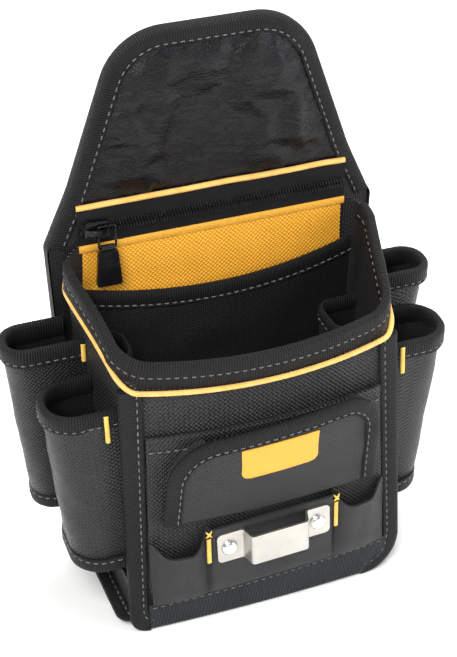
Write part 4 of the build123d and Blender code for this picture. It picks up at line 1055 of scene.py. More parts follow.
# ------------------------------------------------------------------ the bag
@dataclass
class Bag(Maker):
    """Walls, base, bound rim, piping and corner tapes."""

    cloth: float = 2.0
    rim_width: float = 15.0
    rim_inside: float = 12.0
    shoe_side_z: float = 29.0
    shoe_front_z: Pair = (18.0, 24.0)
    side_tape_z: Pair = (5.0, 3.0)
    side_tape_x: Pair = (2.15, 10.65)
    side_tape_from: Pair = (-47.8, -28.0)
    side_tape_bend: float = 8.0
    side_tape_end: float = 36.2
    tape_out: Pair = (83.0, 79.0)
    tape_in: Pair = (72.5, 66.0)

    def walls(self) -> None:
        """Makes the front, both gussets and the bottom."""
        form = self.form
        rim = form.rim(2.0)
        seams = (form.column("seam", -1), form.column("seam", 1))
        parts = {
            "front_panel": (seams[0], seams[1], 3),
            "gusset_left": (0, seams[0], 5),
            "gusset_right": (seams[1], form.count - 1, 8),
        }
        for name, (first, last, seed) in parts.items():
            cols = np.arange(first, last + 1)
            share = shares(96)
            z = lerp(form.foot_z + 0.1, rim[cols][None], share)
            grid_cols = np.broadcast_to(cols[None], z.shape)
            outer, out = form.at(grid_cols, z)
            inner, _ = form.at(grid_cols, z, -self.cloth)
            width = np.broadcast_to(travel(outer[60])[None], z.shape)
            swell = ripple(width, z, 46.0, seed) * 0.55 + ripple(width, z, 15.0, seed + 1) * 0.14
            edge = np.clip(np.minimum(share, 1 - share) * 6, 0, 1) * np.clip(
                np.minimum(width, width[:, -1:] - width) / 14, 0, 1
            )
            push = out * (swell * edge)[..., None]
            uv = join(width, z)
            mesh = MeshBuilder(name + "_cloth")
            mesh.slab(
                form.trimmed(outer + push, 0.0), form.trimmed(inner + push * 0.8, -self.cloth), uv, inside=1
            )
            self.settle(mesh.build(self.look.nylon, self.look.lining), "nylon", name)
        xs = np.linspace(-71.5, 57.5, 60)
        deep = shares(40)
        low = form.front_depth(xs, 4.0) + 1.0
        ys = lerp(low[None], 37.0, deep)
        sag = 0.25 * ripple(xs[None] + 0 * ys, ys, 40.0, 11)
        top = join(xs[None], ys, 3.9 + sag)
        foot = join(xs[None], ys, 2.0)
        mesh = MeshBuilder("bottom_panel_cloth")
        mesh.slab(top, foot)
        self.settle(mesh.build(self.look.lining), "nylon", "bottom_panel")

    def rim_parts(self) -> None:
        """Makes the rim's binding, its stitches and the piping under it."""
        form = self.form
        cols = np.arange(6, form.count - 6)
        rim = form.rim()
        spine, out = form.at(cols, rim[cols], -0.5 * self.cloth)
        order = resample(np.concatenate([spine, out], axis=1), 520)
        spine, out = order[:, :3], unit(order[:, 3:])
        tangents = unit(np.gradient(spine, axis=0))
        down = turned(tangents, out)
        down *= np.where(down[:, 2:] > 0, -1.0, 1.0)
        out = turned(down, tangents)
        lean = np.sign(np.sum(out * order[:, 3:], axis=1, keepdims=True))
        out = out * lean
        run = travel(spine)
        profile = fold_profile(self.rim_width, self.cloth, 1.55, self.rim_inside, 8.2)
        shape = np.repeat(profile[None], len(spine), axis=0)
        swell = 0.22 * ripple(run, 0.0, 26.0, 21) + 0.1 * ripple(run, 0.0, 7.0, 22)
        shape[..., 1] *= (1.0 + 0.12 * swell)[:, None]
        shape[..., 0] += np.clip(shape[..., 0] - 6.0, 0, 1) * (0.35 * ripple(run, 0.0, 30.0, 23))[:, None]
        mesh = MeshBuilder("rim_binding_tape")
        mesh.sweep(spine, down, out, shape)
        self.bind(mesh, "rim_binding")
        rows = [
            (spine + down * 8.2 + out * (0.5 * self.cloth + 1.28), out),
            (spine + down * 8.2 - out * (0.5 * self.cloth + 1.5), -out),
        ]
        self.sew("rim_stitches", rows)
        keep = slice(form.column("turn", -1) - 6, form.column("turn", 1) + 7)
        cols = np.arange(form.count)
        path, _ = form.at(cols, form.rim(self.rim_width + 1.7), 1.35)
        path = resample(path[keep], 420)
        mesh = MeshBuilder("rim_piping_cord")
        mesh.tube(path, 1.45)
        self.settle(mesh.build(self.look.cord), "accent_cord", "rim_piping")

    def corner_tapes(self) -> None:
        """Makes the upright tapes over the front corners, with their stitches."""
        form = self.form
        rows = []
        for side in Side:
            sign = side.value
            keel_r = form.keel_r(side) + form.foot_z
            wide = self.tape_out[0] - self.tape_in[0]
            top_z = float(form.rim(self.rim_width + 3.4)[form.column("seam", sign)])
            end_x = form.base_half - form.keel_r(side)
            share = top_z / form.rim_z
            outer = rounded(
                [
                    (lerp(*self.tape_out, share), top_z, 0), (self.tape_out[0], 0.05, keel_r),
                    (end_x, 0.05, 0)
                ],
                turns=24
            )
            inner = rounded(
                [
                    (lerp(*self.tape_in, share), top_z, 0), (self.tape_in[0], wide, max(0.5 * keel_r, 2.0)),
                    (end_x, wide, 0)
                ],
                turns=24
            )
            count = 170
            outer, inner = resample(outer, count), resample(inner, count)
            across = np.array([
                0.0, 0.03, 0.1, 0.22, 0.28, 0.34, 0.5, 0.75, 0.9, 0.985, 1.0, 0.985, 0.9, 0.66, 0.56,
                0.5, 0.2
            ])
            stand = np.array([
                0.3, 1.3, 1.8, 1.75, 1.5, 1.75, 1.95, 2.0, 1.85, 1.1, -0.5, -2.1, -2.8, -2.9, -2.2, 0.3,
                0.25
            ])
            run = travel(outer)
            wobble = 1.0 + 0.1 * ripple(run, 0.0, 24.0, 30 + sign)
            flat = inner[:, None] + (outer - inner)[:, None] * across[None, :, None]
            lift = stand[None] * np.where(stand > 1.0, wobble[:, None], 1.0)
            net = form.front(sign * flat[..., 0], flat[..., 1], lift)
            v = np.broadcast_to(
                np.concatenate([travel(join(across * wide, stand)), [2.5 * wide]])[None],
                (count, len(across) + 1)
            )
            uv = join(run[:, None], v)
            mesh = MeshBuilder(f"corner_tape_{side.word}")
            mesh.grid(net, uv, wrap=True)
            mesh.caps(net)
            self.bind(mesh, f"corner_binding_{side.word}")
            line = lerp(inner, outer, 0.28)
            path = form.front(sign * line[:, 0], line[:, 1], 1.52)
            rows.append((path, form.front_normals(sign * line[:, 0], line[:, 1])))
        self.sew("corner_stitches", rows)

    def shoe(self) -> None:
        """Makes the coated cloth round the base."""
        form, grow, thick = self.form, 1.9, 1.65
        mesh = MeshBuilder("base_shoe_cloth")
        for span in (np.linspace(-72.0, 58.0, 90), np.linspace(58.0, 73.0, 12)):
            top = np.interp(span, SHOE_ENDS_X, self.shoe_front_z)
            sheets = []
            for stand, radius in ((grow, 3.0), (grow - thick, 3.0 - thick)):
                foot = np.where(span > 58.0, self._keel_z(span, stand), form.foot_z - stand)
                rise = np.linspace(1.0, 0.0, 18)[:, None]
                z = lerp((foot + radius)[None], top[None], rise)
                face = form.front(span[None] + 0 * z, z, stand)
                turn = np.linspace(0.0, 0.5 * math.pi, 7)[1:, None]
                edge_y = form.front_depth(span, foot + radius) - stand
                bend = join(
                    span[None], edge_y[None] + radius * (1 - np.cos(turn)),
                    foot[None] + radius * (1 - np.sin(turn))
                )
                deep = np.linspace(0.0, 1.0, 30)[1:, None]
                ys = lerp((edge_y + radius)[None], form.back_y - 0.2, deep)
                under = join(span[None], ys, foot[None])
                sheets.append(np.concatenate([face, bend, under]))
            run = np.broadcast_to(travel(sheets[0][:, 5])[:, None], sheets[0].shape[:2])
            across = np.broadcast_to(span[None], run.shape)
            mesh.slab(sheets[0], sheets[1], join(across, run))
        for side in Side:
            sign = side.value
            start, end = form.column("seam", sign), form.column("back", sign)
            cols = np.linspace(start, end - sign, 46).round().astype(int)
            base_x = form.base_half - form.keel_r(side)
            nets = []
            for stand in (grow, grow - thick):
                z = shares(26) ** 1.7 * (self.shoe_side_z - (form.foot_z - stand)) + form.foot_z - stand
                z = np.broadcast_to(z, (26, len(cols)))
                spots, _ = form.at(np.broadcast_to(cols[None], z.shape), z, stand)
                spots = form.trimmed(spots, stand)
                spots[0, :, 0] = sign * base_x
                nets.append(spots)
            depth = np.broadcast_to(travel(nets[0][-1])[None], z.shape)
            girth = np.broadcast_to(travel(nets[0][:, 20])[:, None], z.shape)
            mesh.slab(nets[0], nets[1], join(depth, girth))
        self.settle(mesh.build(self.look.coated), "coated_base", "base_shoe")
        rows = []
        line = np.linspace(-71.0, 71.0, 80)
        z = np.interp(line, SHOE_ENDS_X, self.shoe_front_z) - 2.0
        rows.append((form.front(line, z, grow + 0.05), form.front_normals(line, z)))
        for side in Side:
            ends = sorted(form.column(part, side.value) for part in ("corner", "turn"))
            cols = np.arange(ends[0], ends[1] + 1)
            path, out = form.at(cols, np.full(len(cols), self.shoe_side_z - 2.2), grow + 0.05)
            rows.append((path, out))
        self.sew("base_stitches", rows)

    def base_tapes(self) -> None:
        """Makes the tapes that stand out along the base's side seams."""
        form = self.form
        low, thick = self.side_tape_z
        inner, outer = self.side_tape_x
        bend, middle = self.side_tape_bend, low + 0.5 * thick
        rows = []
        for side, start in zip(Side, self.side_tape_from):
            nose = start + bend * (1 - np.cos(np.linspace(0.0, 0.5 * math.pi, 14)))
            ys = np.concatenate([nose, np.linspace(start + bend, self.side_tape_end, 60)[1:]])
            levels = np.full(len(ys), middle)
            near = np.minimum(form.side_x(ys, middle) + inner, form.keel_x(levels, side, inner))
            far = np.minimum(form.side_x(ys, middle) + outer, form.keel_x(levels, side, outer))
            drop = np.clip(start + bend - ys, 0.0, bend)
            far = np.maximum(far - bend + np.sqrt(bend**2 - drop**2), near + 0.6)
            across = np.array(
                [0.0, 0.15, 0.24, 0.33, 0.7, 0.93, 1.0, 1.0, 0.93, 0.7, 0.33, 0.24, 0.15, 0.0]
            )
            height = np.array([2.7, 2.95, 2.6, 2.95, 3.1, 2.9, 2.2, 0.8, 0.1, -0.1, 0.05, 0.4, 0.05, 0.3])
            wobble = 0.15 * ripple(ys, 0.0, 20.0, 35 + side.value)
            x = side.value * (near[:, None] + (far - near)[:, None] * across[None])
            net = join(x, ys[:, None], low + height[None] + wobble[:, None])
            run = travel(join(far, ys))
            v = travel(join(across * (outer - inner), height))
            uv = join(run[:, None], np.append(v, v[-1] + 3.0)[None])
            mesh = MeshBuilder(f"base_side_tape_{side.word}")
            mesh.grid(net, uv, wrap=True)
            mesh.caps(net)
            self.bind(mesh, f"base_tape_{side.word}")
            line = join(side.value * lerp(near, far, 0.24), ys, low + 2.72 + wobble)
            rows.append((line[6:], facing(UP, line[6:])))
        self.sew("base_tape_stitches", rows)

    def _keel_z(self, x: Array, stand: float) -> Array:
        """Height of the rounded lower right corner under a place on the front."""
        radius = self.form.keel[1] + stand
        run = np.clip(x - (self.form.base_half + stand - radius), 0.0, radius - 0.01)
        return self.form.foot_z - stand + radius - np.sqrt(radius**2 - run**2)

    def make(self) -> None:
        """Makes the whole bag."""
        self.walls()
        self.rim_parts()
        self.corner_tapes()
        self.shoe()
        self.base_tapes()


# ------------------------------------------------------------------ the back panel
@dataclass
class BackPanel(Maker):
    """The padded back: facing, lining, core, cover, edge tape and belt tunnel."""

    top_z: float = 320.5
    facing_t: float = 1.6
    foam_t: float = 4.8
    cover_t: float = 1.6
    tape_w: float = 9.5
    piping_z: float = 227.5

    def outline(self, count: int = 620) -> tuple[Array, Array]:
        """The panel's edge and its inward directions, in the panel's plane.

        Args:
            count: How many points.

        Returns:
            The points (x, z), and unit vectors that point into the panel.
        """
        right = [(88.0, 0.0, 12.0), (94.5, 204.0, 7.0), (80.0, 236.0, 90.0), (50.0, self.top_z, 36.0)]
        left = [(-x, z, r) for x, z, r in right[::-1]]
        path = rounded(right + left, closed=True, turns=16)
        path = resample(np.concatenate([path, path[:1]]), count + 1)
        tangents = np.gradient(path, axis=0)
        tangents[0] = tangents[-1] = path[1] - path[-2]
        inward = unit(join(-tangents[:, 1], tangents[:, 0]))
        return path[:-1], inward[:-1]

    def half_width(self, z: Array, inset: float) -> Array:
        """Half width of the panel at a height, drawn in from its edge."""
        path, inward = self.outline()
        edge = path + inward * inset
        right = edge[edge[:, 0] > 0]
        right = right[np.argsort(right[:, 1])]
        return np.interp(z, right[:, 1], right[:, 0])

    def sheet_net(self, low: float, high: float, inset: float, rows: int, cols: int) -> tuple[Array, Array]:
        """A net of places (x, z) over part of the panel."""
        share = np.linspace(0.0, 1.0, rows)
        z = lerp(low, high, share)[:, None]
        x = self.half_width(z[:, 0], inset)[:, None] * np.linspace(-1.0, 1.0, cols)[None]
        return x, np.broadcast_to(z, x.shape)

    def padded_face(
        self, name: str, low: float, high: float, y: float, out: float, puff: float, seed: int
    ) -> Array:
        """A padded cloth face, blown up by simulation between its sewn edges.

        Args:
            name: The piece's name.
            low: Its lowest height.
            high: Its highest.
            y: Depth of its sewn edges.
            out: Minus one for the front face, one for the rear.
            puff: How far its middle may rise.
            seed: Which wrinkles it has.

        Returns:
            The net of places of its outside.
        """
        x, z = self.sheet_net(low, high, 4.0, 58, 64)
        wide = self.half_width(z[:, 0], 4.0)[:, None]
        near = np.minimum(np.minimum(wide - np.abs(x), z - low), high - z)
        rise = np.clip(near / 18.0, 0.0, 1.0)
        rise = rise * rise * (3 - 2 * rise)
        crease = ripple(x * 0.35, z, 17.0, seed) * 0.3 + ripple(x, z * 0.8, 30.0, seed + 1) * 0.35
        start = rise * (0.55 * puff + crease * 0.5 * puff)
        height = self._blown(name, x, z, start, puff)
        return join(x, y + out * np.clip(height, 0.0, puff * 1.6), z)

    def _blown(self, name: str, x: Array, z: Array, start: Array, puff: float) -> Array:
        """Heights of a net after a short cloth simulation with its border pinned."""
        rows, cols = x.shape
        mesh = MeshBuilder(name + "_sim")
        mesh.grid(join(x, -start, z))
        piece = mesh.build(self.look.leather)
        grip = piece.vertex_groups.new(name="pin")
        spots = np.array([v.co for v in piece.data.vertices]) / MM
        wide = self.half_width(spots[:, 2], 4.0)
        border = (
            wide - np.abs(spots[:, 0]) < 3.0
        ) | (spots[:, 2] - z.min() < 1.5) | (z.max() - spots[:, 2] < 3.0)
        grip.add([int(k) for k in np.nonzero(border)[0]], 1.0, "REPLACE")
        cloth = piece.modifiers.new("Cloth", "CLOTH")
        cloth.settings.effector_weights.gravity = 0.0
        cloth.settings.use_pressure = True
        cloth.settings.uniform_pressure_force = 3.0
        cloth.settings.vertex_group_mass = "pin"
        cloth.settings.shrink_min = -0.035
        cloth.settings.quality = 6
        scene = bpy.context.scene
        scene.frame_start, scene.frame_end = 1, 20
        for moment in range(1, 21):
            scene.frame_set(moment)
        depsgraph = bpy.context.evaluated_depsgraph_get()
        solved = piece.evaluated_get(depsgraph)
        after = np.array([v.co for v in solved.data.vertices]) / MM
        bpy.data.objects.remove(piece)
        scene.frame_set(1)
        height = np.clip(-after[:, 1], -0.4 * puff, 1.8 * puff)
        if len(height) != rows * cols:
            return start * 1.3
        order = np.lexsort((np.round(spots[:, 0], 3), np.round(spots[:, 2], 3)))
        return height[order].reshape(rows, cols)

    def faces(self) -> None:
        """Makes the leather facing, the lining, the foam core and the rear cover."""
        y = self.form.back_y
        front = self.padded_face(
            "leather_facing", self.piping_z - 1.0, self.top_z - 1.6, y + 0.4, -1.0, 3.4, 51
        )
        rear = front.copy()
        rear[..., 1] = y + self.facing_t
        mesh = MeshBuilder("leather_pad")
        mesh.slab(front, rear)
        pad = self.settle(mesh.build(self.look.leather), "faux_leather", "leather_facing")
        x, z = self.sheet_net(1.6, self.piping_z - 0.2, 1.6, 60, 40)
        mesh = MeshBuilder("lining_sheet")
        mesh.slab(join(x, y + 0.05, z), join(x, y + self.facing_t, z))
        self.settle(mesh.build(self.look.lining), "lining", "back_lining")
        x, z = self.sheet_net(2.0, self.top_z - 2.0, 2.2, 90, 40)
        swell = 0.25 * ripple(x, z, 50.0, 55)
        start = y + self.facing_t + 0.05
        mesh = MeshBuilder("foam_core")
        mesh.slab(join(x, start, z), join(x, start + self.foam_t - 0.4 + swell, z))
        core = self.settle(mesh.build(self.look.lining), "foam", "back_foam")
        edge = y + self.facing_t + self.foam_t + 0.2
        rear = self.padded_face("back_cover", 1.6, self.top_z - 1.6, edge, 1.0, 1.7, 57)
        inner = rear.copy()
        inner[..., 1] = edge - 0.15
        mesh = MeshBuilder("rear_cover")
        mesh.slab(rear, inner)
        cover = self.settle(mesh.build(self.look.nylon), "nylon", "back_cover")

    def edge_tape(self) -> None:
        """Makes the tape round the panel, with its stitches front and back."""
        y = self.form.back_y
        path, inward = self.outline()
        spine = join(path[:, 0], y, path[:, 1])
        side = join(inward[:, 0], 0.0, inward[:, 1])
        normal = facing(AHEAD, spine)
        w = self.tape_w
        profile = np.array([
            (w, 0.1), (w, 0.85), (w - 0.7, 1.3), (w - 1.6, 0.95), (w - 2.5, 1.4), (5.2, 1.45), (3.0, 1.35),
            (1.3, 0.75), (0.3, -0.9),
            (0.0, -4.0), (0.3, -7.1), (1.3, -8.8), (3.0, -9.35), (5.2, -9.45), (w - 2.5, -9.4),
            (w - 1.6, -9.0), (w - 0.7, -9.3),
            (w, -8.9), (w, -8.1), (3.0, -7.6), (1.6, -4.0), (3.0, -0.1),
        ])
        run = travel(spine)
        shape = np.repeat(profile[None], len(spine), axis=0)
        swell = 1.0 + 0.1 * ripple(run, 0.0, 22.0, 61) + 0.05 * ripple(run, 0.0, 6.0, 62)
        shape[..., 1] = np.where(shape[..., 1] > 0.9, shape[..., 1] * swell[:, None], shape[..., 1])
        shape[..., 0] += np.where(shape[..., 0] > 7.0, 0.4, 0.0) * ripple(run, 0.0, 34.0, 63)[:, None]
        bag = (spine[:, 2] < self.form.ear_z)[:, None] & (shape[..., 1] > -0.5)
        reach = self.form.side_x(y - 1.0, np.minimum(spine[:, 2], self.form.ear_z))[:, None] + 3.4
        room = np.maximum(np.abs(spine[:, :1]) - reach, 0.4)
        shape[..., 0] = np.where(
            bag & (np.abs(spine[:, :1]) > 60), np.minimum(shape[..., 0], room), shape[..., 0]
        )
        mesh = MeshBuilder("panel_binding_tape")
        mesh.sweep(spine, side, normal, shape, closed=True)
        self.bind(mesh, "back_binding")
        line = spine + side * (w - 1.6)
        above = spine[:, 2] > 208.0
        start = int(np.argmax(above & (spine[:, 0] > 0)))
        stop = int(len(above) - np.argmax(above[::-1] & (spine[::-1, 0] < 0)))
        front = line[start:stop] + AHEAD
        behind = np.concatenate([line, line[:1]]) + 9.05 * BEHIND
        rows = [
            (front, facing(AHEAD, front)),
            (behind, facing(BEHIND, behind)),
        ]
        self.sew("panel_stitches", rows)

    def tunnel(self) -> None:
        """Makes the strap on the back that a belt slides through."""
        y = self.form.back_y + self.facing_t + self.foam_t + self.cover_t + 1.5
        path = rounded(
            [
                (y, 232.0, 0), (y, 219.0, 4.0), (y + 6.5, 212.5, 4.0), (y + 6.5, 137.5, 4.0),
                (y, 131.0, 4.0), (y, 118.0, 0)
            ],
            turns=10
        )
        path = resample(path, 90)
        tangents = unit(np.gradient(path, axis=0))
        outward = join(-tangents[:, 1], tangents[:, 0])
        outward *= np.sign(outward[:, :1] + 1e-9)
        xs = np.linspace(-52.0, 52.0, 48)
        sag = 0.35 * ripple(xs[None], path[:, 1:], 40.0, 71)
        nets = []
        for stand in (1.1, -1.1):
            flat = path[:, None] + outward[:, None] * (stand + sag)[..., None]
            nets.append(join(xs[None], flat[..., 0], flat[..., 1]))
        run = travel(path)
        uv = join(run[:, None], xs[None])
        mesh = MeshBuilder("belt_tunnel_web")
        mesh.slab(nets[0], nets[1], uv)
        self.settle(mesh.build(self.look.webbing), "tunnel_web", "belt_tunnel")
        rows = []
        for z in (229.5, 221.5, 128.5, 120.5):
            line = join(np.linspace(-49, 49, 40), y + 1.15, z)
            rows.append((line, facing(BEHIND, line)))
        self.sew("tunnel_stitches", rows)

    def make(self) -> None:
        """Makes the whole back panel."""
        self.faces()
        self.edge_tape()
        self.tunnel()


# ------------------------------------------------------------------ zipper and pockets on the back wall
@dataclass
class BackWall(Maker):
    """Piping, zipper tapes, amber pocket and slip pocket."""

    zip_z: float = 214.8
    face_y: float = 35.4
    zip_half: float = 77.0
    pocket_top_z: float = 204.5
    pocket_foot_z: float = 112.0
    piping: Pair = (36.45, 227.5)
    slip_t: float = 1.8
    slip_reach: float = 84.0
    slip_y_mid: float = 25.5
    slip_belly: float = 7.8
    slip_z_mid: float = 171.3
    slip_scoop: float = 9.0

    def zipper(self) -> None:
        """Makes the tapes and piping, and dresses the moving parts."""
        line = np.linspace(-self.zip_half, self.zip_half, 160)
        cord = join(line, *self.piping)
        cord[:, 2] += 0.25 * ripple(cord[:, 0], 0 * cord[:, 0], 40.0, 81)
        mesh = MeshBuilder("accent_piping_cord")
        mesh.tube(cord, 1.6, 16)
        self.settle(mesh.build(self.look.cord), "accent_cord", "accent_piping")
        for name, low, high in (
            ("upper", self.zip_z + 0.5, 225.6), ("lower", self.pocket_top_z - 1.5, self.zip_z - 0.5)
        ):
            x = np.linspace(-self.zip_half, self.zip_half, 120)[None]
            z = np.linspace(low, high, 10)[:, None]
            wave = 0.15 * ripple(x + 0 * z, z + 0 * x, 30.0, 83)
            front = join(x, self.face_y + 0.05 + wave, z)
            rear = front + 1.1 * BEHIND
            uv = join(x, z)
            mesh = MeshBuilder(f"zip_tape_{name}_cloth")
            mesh.slab(front, rear, uv)
            self.settle(mesh.build(self.look.zip_tape), "zip_tape", f"zip_tape_{name}")
        look = self.look
        moulded = {
            "zip_coil_upper": look.coil,
            "zip_coil_lower": look.coil,
            "zip_slider": look.enamel,
            "pull_link": look.enamel,
            "pull_tab": look.tab,
        }
        for node, finish in moulded.items():
            dress(node, finish)

    def amber_pocket(self) -> None:
        """Makes the pocket cloth under the zipper, with its turned top edge."""
        rows, cols = 60, 110
        z = np.linspace(self.pocket_foot_z, self.pocket_top_z, rows)[:, None]
        half = np.minimum(self.zip_half, self.form.room_x(self.face_y, np.full_like(z, 150.0)))
        x = half * np.linspace(-1.0, 1.0, cols)[None]
        z = z + 0 * x
        belly = 0.9 * np.sin(
            math.pi * (z - self.pocket_foot_z) / (self.pocket_top_z - self.pocket_foot_z)
        ) * (1 - (x / half) ** 2)
        face = self.face_y - belly + 0.3 * ripple(x, z, 36.0, 85) * (1 - (x / half) ** 4)
        uv = join(x, z)
        mesh = MeshBuilder("zip_pocket_cloth")
        mesh.slab(join(x, face, z), join(x, face + 1.1, z), uv)
        cloth = self.settle(mesh.build(self.look.amber), "accent_cloth", "zip_pocket_panel")
        x = np.linspace(-self.zip_half, self.zip_half, 140)
        hem = join(x, self.face_y - 0.45, self.pocket_top_z)
        side = facing(DOWN, hem)
        out = facing(AHEAD, hem)
        profile = np.array([
            (-0.6, -0.2), (-0.5, 0.25), (0.0, 0.5), (1.5, 0.55), (3.0, 0.5), (3.6, 0.3), (3.8, -0.1),
            (1.5, -0.2)
        ])
        mesh = MeshBuilder("zip_pocket_hem")
        mesh.sweep(hem, side, out, profile)
        self.settle(mesh.build(self.look.label), "accent_cloth")

    def slip_y(self, x: Array) -> Array:
        """Depth of the slip pocket's face across its width."""
        return bowed(self.slip_y_mid, self.slip_reach, self.slip_belly, x)

    def slip_top(self, x: Array) -> Array:
        """Height of its scooped edge."""
        return bowed(self.slip_z_mid, self.slip_reach, self.slip_scoop, x)

    def slip_pocket(self) -> None:
        """Makes the black slip pocket with its bound, scooped edge."""
        share = np.linspace(-1.0, 1.0, 100)[None]
        rise = shares(70)
        x = 78.0 * share + 0 * rise
        for _ in range(4):
            z = lerp(8.0, self.slip_top(x) - 0.4, rise)
            x = self.form.room_x(self.slip_y(x), z, 2.8) * share
        y = self.slip_y(x)
        wave = 0.5 * ripple(x, z, 42.0, 91) * (1 - share**4) * (1 - rise**6)
        outer = join(x, y + wave, z)
        inner = join(x, y + wave + self.slip_t, z)
        mesh = MeshBuilder("slip_pocket_cloth")
        mesh.slab(outer, inner, join(x, z))
        cloth = self.settle(mesh.build(self.look.lining), "lining", "slip_pocket")
        top_x = np.linspace(x[-1, 0] + 1.6, x[-1, -1] - 1.6, 240)
        spine = join(top_x, self.slip_y(top_x) + 0.5 * self.slip_t, self.slip_top(top_x))
        tangents = unit(np.gradient(spine, axis=0))
        slope = np.gradient(self.slip_y(top_x), top_x)
        out = unit(join(slope, -1.0, 0.0))
        down = turned(tangents, out)
        down *= np.sign(-down[:, 2:])
        profile = fold_profile(11.0, self.slip_t, 0.85, 11.0, 8.8)
        mesh = MeshBuilder("slip_binding_tape")
        mesh.sweep(spine, down, out, profile)
        self.bind(mesh, "slip_binding")
        self.sew("slip_stitches", [(spine + down * 8.8 + out * (0.5 * self.slip_t + 0.6), out)])

    def make(self) -> None:
        """Makes everything on the back wall."""
        self.zipper()
        self.amber_pocket()
        self.slip_pocket()


# ------------------------------------------------------------------ tubes and inner pockets
@dataclass
class ToolTube(Maker):
    """One bound tube on the outside of a gusset."""

    side: Side = Side.LEFT
    row: str = "front"
    foot_z: float = 33.0
    rim_z: float = 150.0
    foot_x: float = 112.0
    rim_x: float = 117.0
    corner_r: float = 17.0
    cloth: float = 2.2
    proud: float = 1.3
    rim_w: float = 11.0

    def edges(self, z: Array) -> tuple[Array, Array]:
        """Depths of the front and rear seams at a height."""
        if self.row == "rear":
            return 8.0 + 0 * z, 35.0 + 0 * z
        return self.form.front_depth(83.0, z) + 4.8, 5.0 + 0 * z

    def ring(self, z: float, grow: float = 0.0) -> Array:
        """The tube's outline at a height, from its front seam round to its rear one.

        Args:
            z: The height.
            grow: How far outside the cloth.

        Returns:
            Points (x, y, z).
        """
        front, rear = (float(v) for v in self.edges(np.array(z)))
        share = (z - self.foot_z) / (self.rim_z - self.foot_z)
        face = lerp(self.foot_x, self.rim_x, share) + grow
        radius = max(self.corner_r + grow, 1.0)
        front, rear = front - grow, rear + grow
        start_x = float(self.form.side_x(front, z)) + 0.3
        end_x = float(self.form.side_x(rear, z)) + 0.3
        radius = min(radius, 0.499 * (rear - front))
        path = rounded(
            [(start_x, front, 0), (face, front, radius), (face, rear, radius), (end_x, rear, 0)], turns=16
        )
        path = self._even(path)
        return join(self.side.value * path[:, 0], path[:, 1], z)

    @staticmethod
    def _even(path: Array) -> Array:
        """The outline with its straight runs divided."""
        runs = [
            np.linspace(path[0], path[1], 9)[:-1], path[1:17], np.linspace(path[16], path[17], 9)[1:-1],
            path[17:33], np.linspace(path[32], path[33], 9)[1:]
        ]
        return np.concatenate(runs)

    def frame_at(self, spine: Array) -> tuple[Array, Array]:
        """Downward and outward directions along an outline."""
        tangents = unit(np.gradient(spine, axis=0))
        down = facing(DOWN, spine)
        out = turned(tangents, down)
        middle = spine.mean(axis=0)
        out *= np.sign(np.sum(out * (spine - middle), axis=1, keepdims=True).mean())
        return down, out

    def make(self) -> None:
        """Makes the tube, its bound rim and foot, and its stitches."""
        tag = f"{self.row}_{self.side.word}"
        seed = 100 + 10 * self.side.value + (0 if self.row == "front" else 3)
        levels = np.linspace(self.foot_z + 0.6, self.rim_z - 0.6, 56)
        outer = np.stack([self.ring(z) for z in levels])
        out = np.stack([self.frame_at(row)[1] for row in outer])
        width = np.broadcast_to(travel(outer[0])[None], outer.shape[:2])
        z = outer[..., 2]
        edge = np.clip(np.minimum(width, width[:, -1:] - width) / 10.0, 0, 1) * np.clip(
            np.minimum(z - self.foot_z, self.rim_z - z) / 14.0, 0, 1
        )
        swell = (0.42 * ripple(width, z, 46.0, seed) + 0.1 * ripple(width, z, 15.0, seed + 1)) * edge
        outer = outer + out * swell[..., None]
        inner = outer - out * self.cloth
        uv = join(width, z)
        mesh = MeshBuilder(f"tube_cloth_{tag}")
        mesh.slab(outer, inner, uv, inside=1)
        for level, lift in ((0, 0.0), (1, self.cloth)):
            ring = self.ring(self.foot_z + 0.6, -0.2)
            wall = ring.copy()
            wall[:, 0] = self.side.value * (self.form.side_x(ring[:, 1], ring[:, 2]) + 0.3)
            steps = np.linspace(0.0, 1.0, 8)[:, None, None]
            cap = lerp(ring[None], wall[None], steps)
            cap[..., 2] += lift
            mesh.grid(cap, finish=level)
        self.settle(mesh.build(self.look.tube_nylon, self.look.lining), "nylon", f"tube_{tag}")
        spine = self.ring(self.rim_z + self.proud - 0.2, -0.5 * self.cloth)
        spine = resample(spine, 150)
        down, out = self.frame_at(spine)
        run = travel(spine)
        shape = np.repeat(
            fold_profile(self.rim_w, self.cloth, self.proud, self.rim_w, 8.4)[None], len(spine), axis=0
        )
        shape[..., 1] *= (1.0 + 0.07 * ripple(run, 0.0, 18.0, seed + 2))[:, None]
        shape[..., 0] += (0.5 * ripple(run, 0.0, 45.0, seed + 4))[:, None] * (shape[..., 0] > 5)
        mesh = MeshBuilder(f"tube_rim_tape_{tag}")
        mesh.sweep(spine, down, out, shape)
        self.bind(mesh, f"tube_rim_{tag}")
        spine_foot = resample(self.ring(self.foot_z, 0.1), 130)
        down_foot, out_foot = self.frame_at(spine_foot)
        band = np.array([
            (-9.0, 0.0), (-9.1, 0.7), (-8.4, 1.15), (-6.9, 0.85), (-5.4, 1.2), (-2.0, 1.25), (-0.6, 1.0),
            (0.15, 0.3), (0.2, -1.2), (0.2, -6.0), (0.02, -6.1), (-0.05, -0.1)
        ])
        mesh = MeshBuilder(f"tube_foot_tape_{tag}")
        mesh.sweep(spine_foot, down_foot, out_foot, band)
        self.bind(mesh, f"tube_foot_{tag}")
        rows = [
            (spine + down * 8.4 + out * (0.5 * self.cloth + self.proud - 0.28), out),
            (spine_foot - down_foot * 6.9 + out_foot * 0.85, out_foot),
        ]
        self.sew(f"tube_stitches_{tag}", rows)


